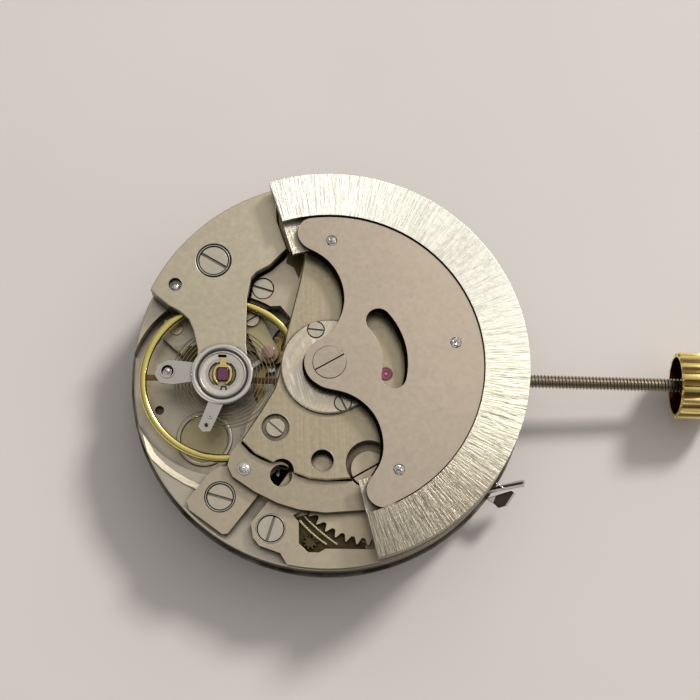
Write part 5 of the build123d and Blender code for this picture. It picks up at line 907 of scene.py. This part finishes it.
def date_numbers():
    """The numbers of the date ring, read from the dial side."""
    dates, size, radius, level = 31, 1.5, 10.18, 0.07
    points, faces = [], []
    for date in range(1, dates + 1):
        curve = bpy.data.curves.new("number", "FONT")
        curve.body = str(date)
        curve.align_x = "CENTER"
        curve.align_y = "CENTER"
        curve.size = size
        curve.extrude = 0.02
        curve.resolution_u = 3
        holder = bpy.data.objects.new("number", curve)
        flat = bpy.data.meshes.new_from_object(holder)
        angle = math.radians(360 * date / dates)
        for face in flat.polygons:
            faces.append([len(points) + i for i in face.vertices])
        for v in flat.vertices:
            x, y = -v.co.x, v.co.y + radius
            points.append((x * math.cos(angle) - y * math.sin(angle),
                           x * math.sin(angle) + y * math.cos(angle), level + v.co.z))
        bpy.data.objects.remove(holder)
        bpy.data.curves.remove(curve)
        bpy.data.meshes.remove(flat)
    add_piece("date_numbers", mesh_of("date_numbers", points, faces), "date_ring", ink_look)


date_numbers()


# Stage
def floor():
    """The ground, tilted so that the movement stands on its seconds pivot, its edge and its crown."""
    mesh = bpy.data.meshes.new("floor")
    size = 400 * MM
    corners = [(-size, -size, 0), (size, -size, 0), (size, size, 0), (-size, size, 0)]
    mesh.from_pydata(corners, [], [(0, 1, 2, 3)])
    obj = bpy.data.objects.new("floor", mesh)
    scene.collection.objects.link(obj)
    obj.location = (0, 0, -1.7 * MM)
    obj.rotation_euler = (math.radians(1.5), -math.radians(3.2), 0)
    s = Shader("floor_pale")
    cloud = s.remap(s.noise(s.place(), scale=0.03, detail=2), 0.3, 0.7, 0, 1)
    s.put(s.bsdf.inputs["Base Color"], s.mix(cloud, rgb(230, 222, 217), rgb(224, 217, 212)))
    s.bsdf.inputs["Roughness"].default_value = 0.6
    mesh.materials.append(s.material)


floor()


def area(name, place, size, power, colour):
    """A round lamp that faces the origin."""
    light = bpy.data.lights.new(name, "AREA")
    light.shape = "DISK"
    light.size = size * MM
    light.energy = power
    light.color = colour
    obj = bpy.data.objects.new(name, light)
    obj.location = Vector(place) * MM
    obj.rotation_euler = Vector(place).to_track_quat("Z", "Y").to_euler()
    scene.collection.objects.link(obj)


area("key", (560, 650, 760), 230, 8.2, (1, 0.98, 0.95))

# A window to the upper right and a dim room behind the camera
world = bpy.data.worlds.new("studio")
scene.world = world
world.use_nodes = True
tree = world.node_tree
back = tree.nodes["Background"]
coord = tree.nodes.new("ShaderNodeTexCoord")
aim = tree.nodes.new("ShaderNodeVectorMath")
aim.operation = "DOT_PRODUCT"
aim.inputs[1].default_value = (0.5, 0.56, 0.66)
ramp = tree.nodes.new("ShaderNodeValToRGB")
tree.links.new(coord.outputs["Generated"], aim.inputs[0])
tree.links.new(ramp.outputs[0], back.inputs[0])
scale = tree.nodes.new("ShaderNodeMapRange")
scale.inputs[1].default_value = -1
tree.links.new(aim.outputs["Value"], scale.inputs[0])
tree.links.new(scale.outputs[0], ramp.inputs[0])
stops = ramp.color_ramp.elements
stops[0].position = 0
stops[0].color = (1.5, 1.45, 1.38, 1)
stops[1].position = 1
stops[1].color = (1.0, 0.98, 0.96, 1)
for share, light in ((0.14, 0.9), (0.28, 0.2), (0.5, 0.16), (0.725, 0.36), (0.84, 0.5), (0.93, 0.56)):
    stops.new(share).color = (light, light * 0.985, light * 0.97, 1)
back.inputs[1].default_value = 1.1

camera = bpy.data.cameras.new("camera")
camera.sensor_width = 36
camera.lens = 76.8346
camera.clip_start = 0.01
view = bpy.data.objects.new("camera", camera)
view.location = (-0.2155 * MM, -24.6503 * MM, 96.8496 * MM)
view.rotation_euler = (0.271674, -0.022915, 0.023306)
scene.collection.objects.link(view)
scene.camera = view
scene.view_settings.view_transform = "Standard"
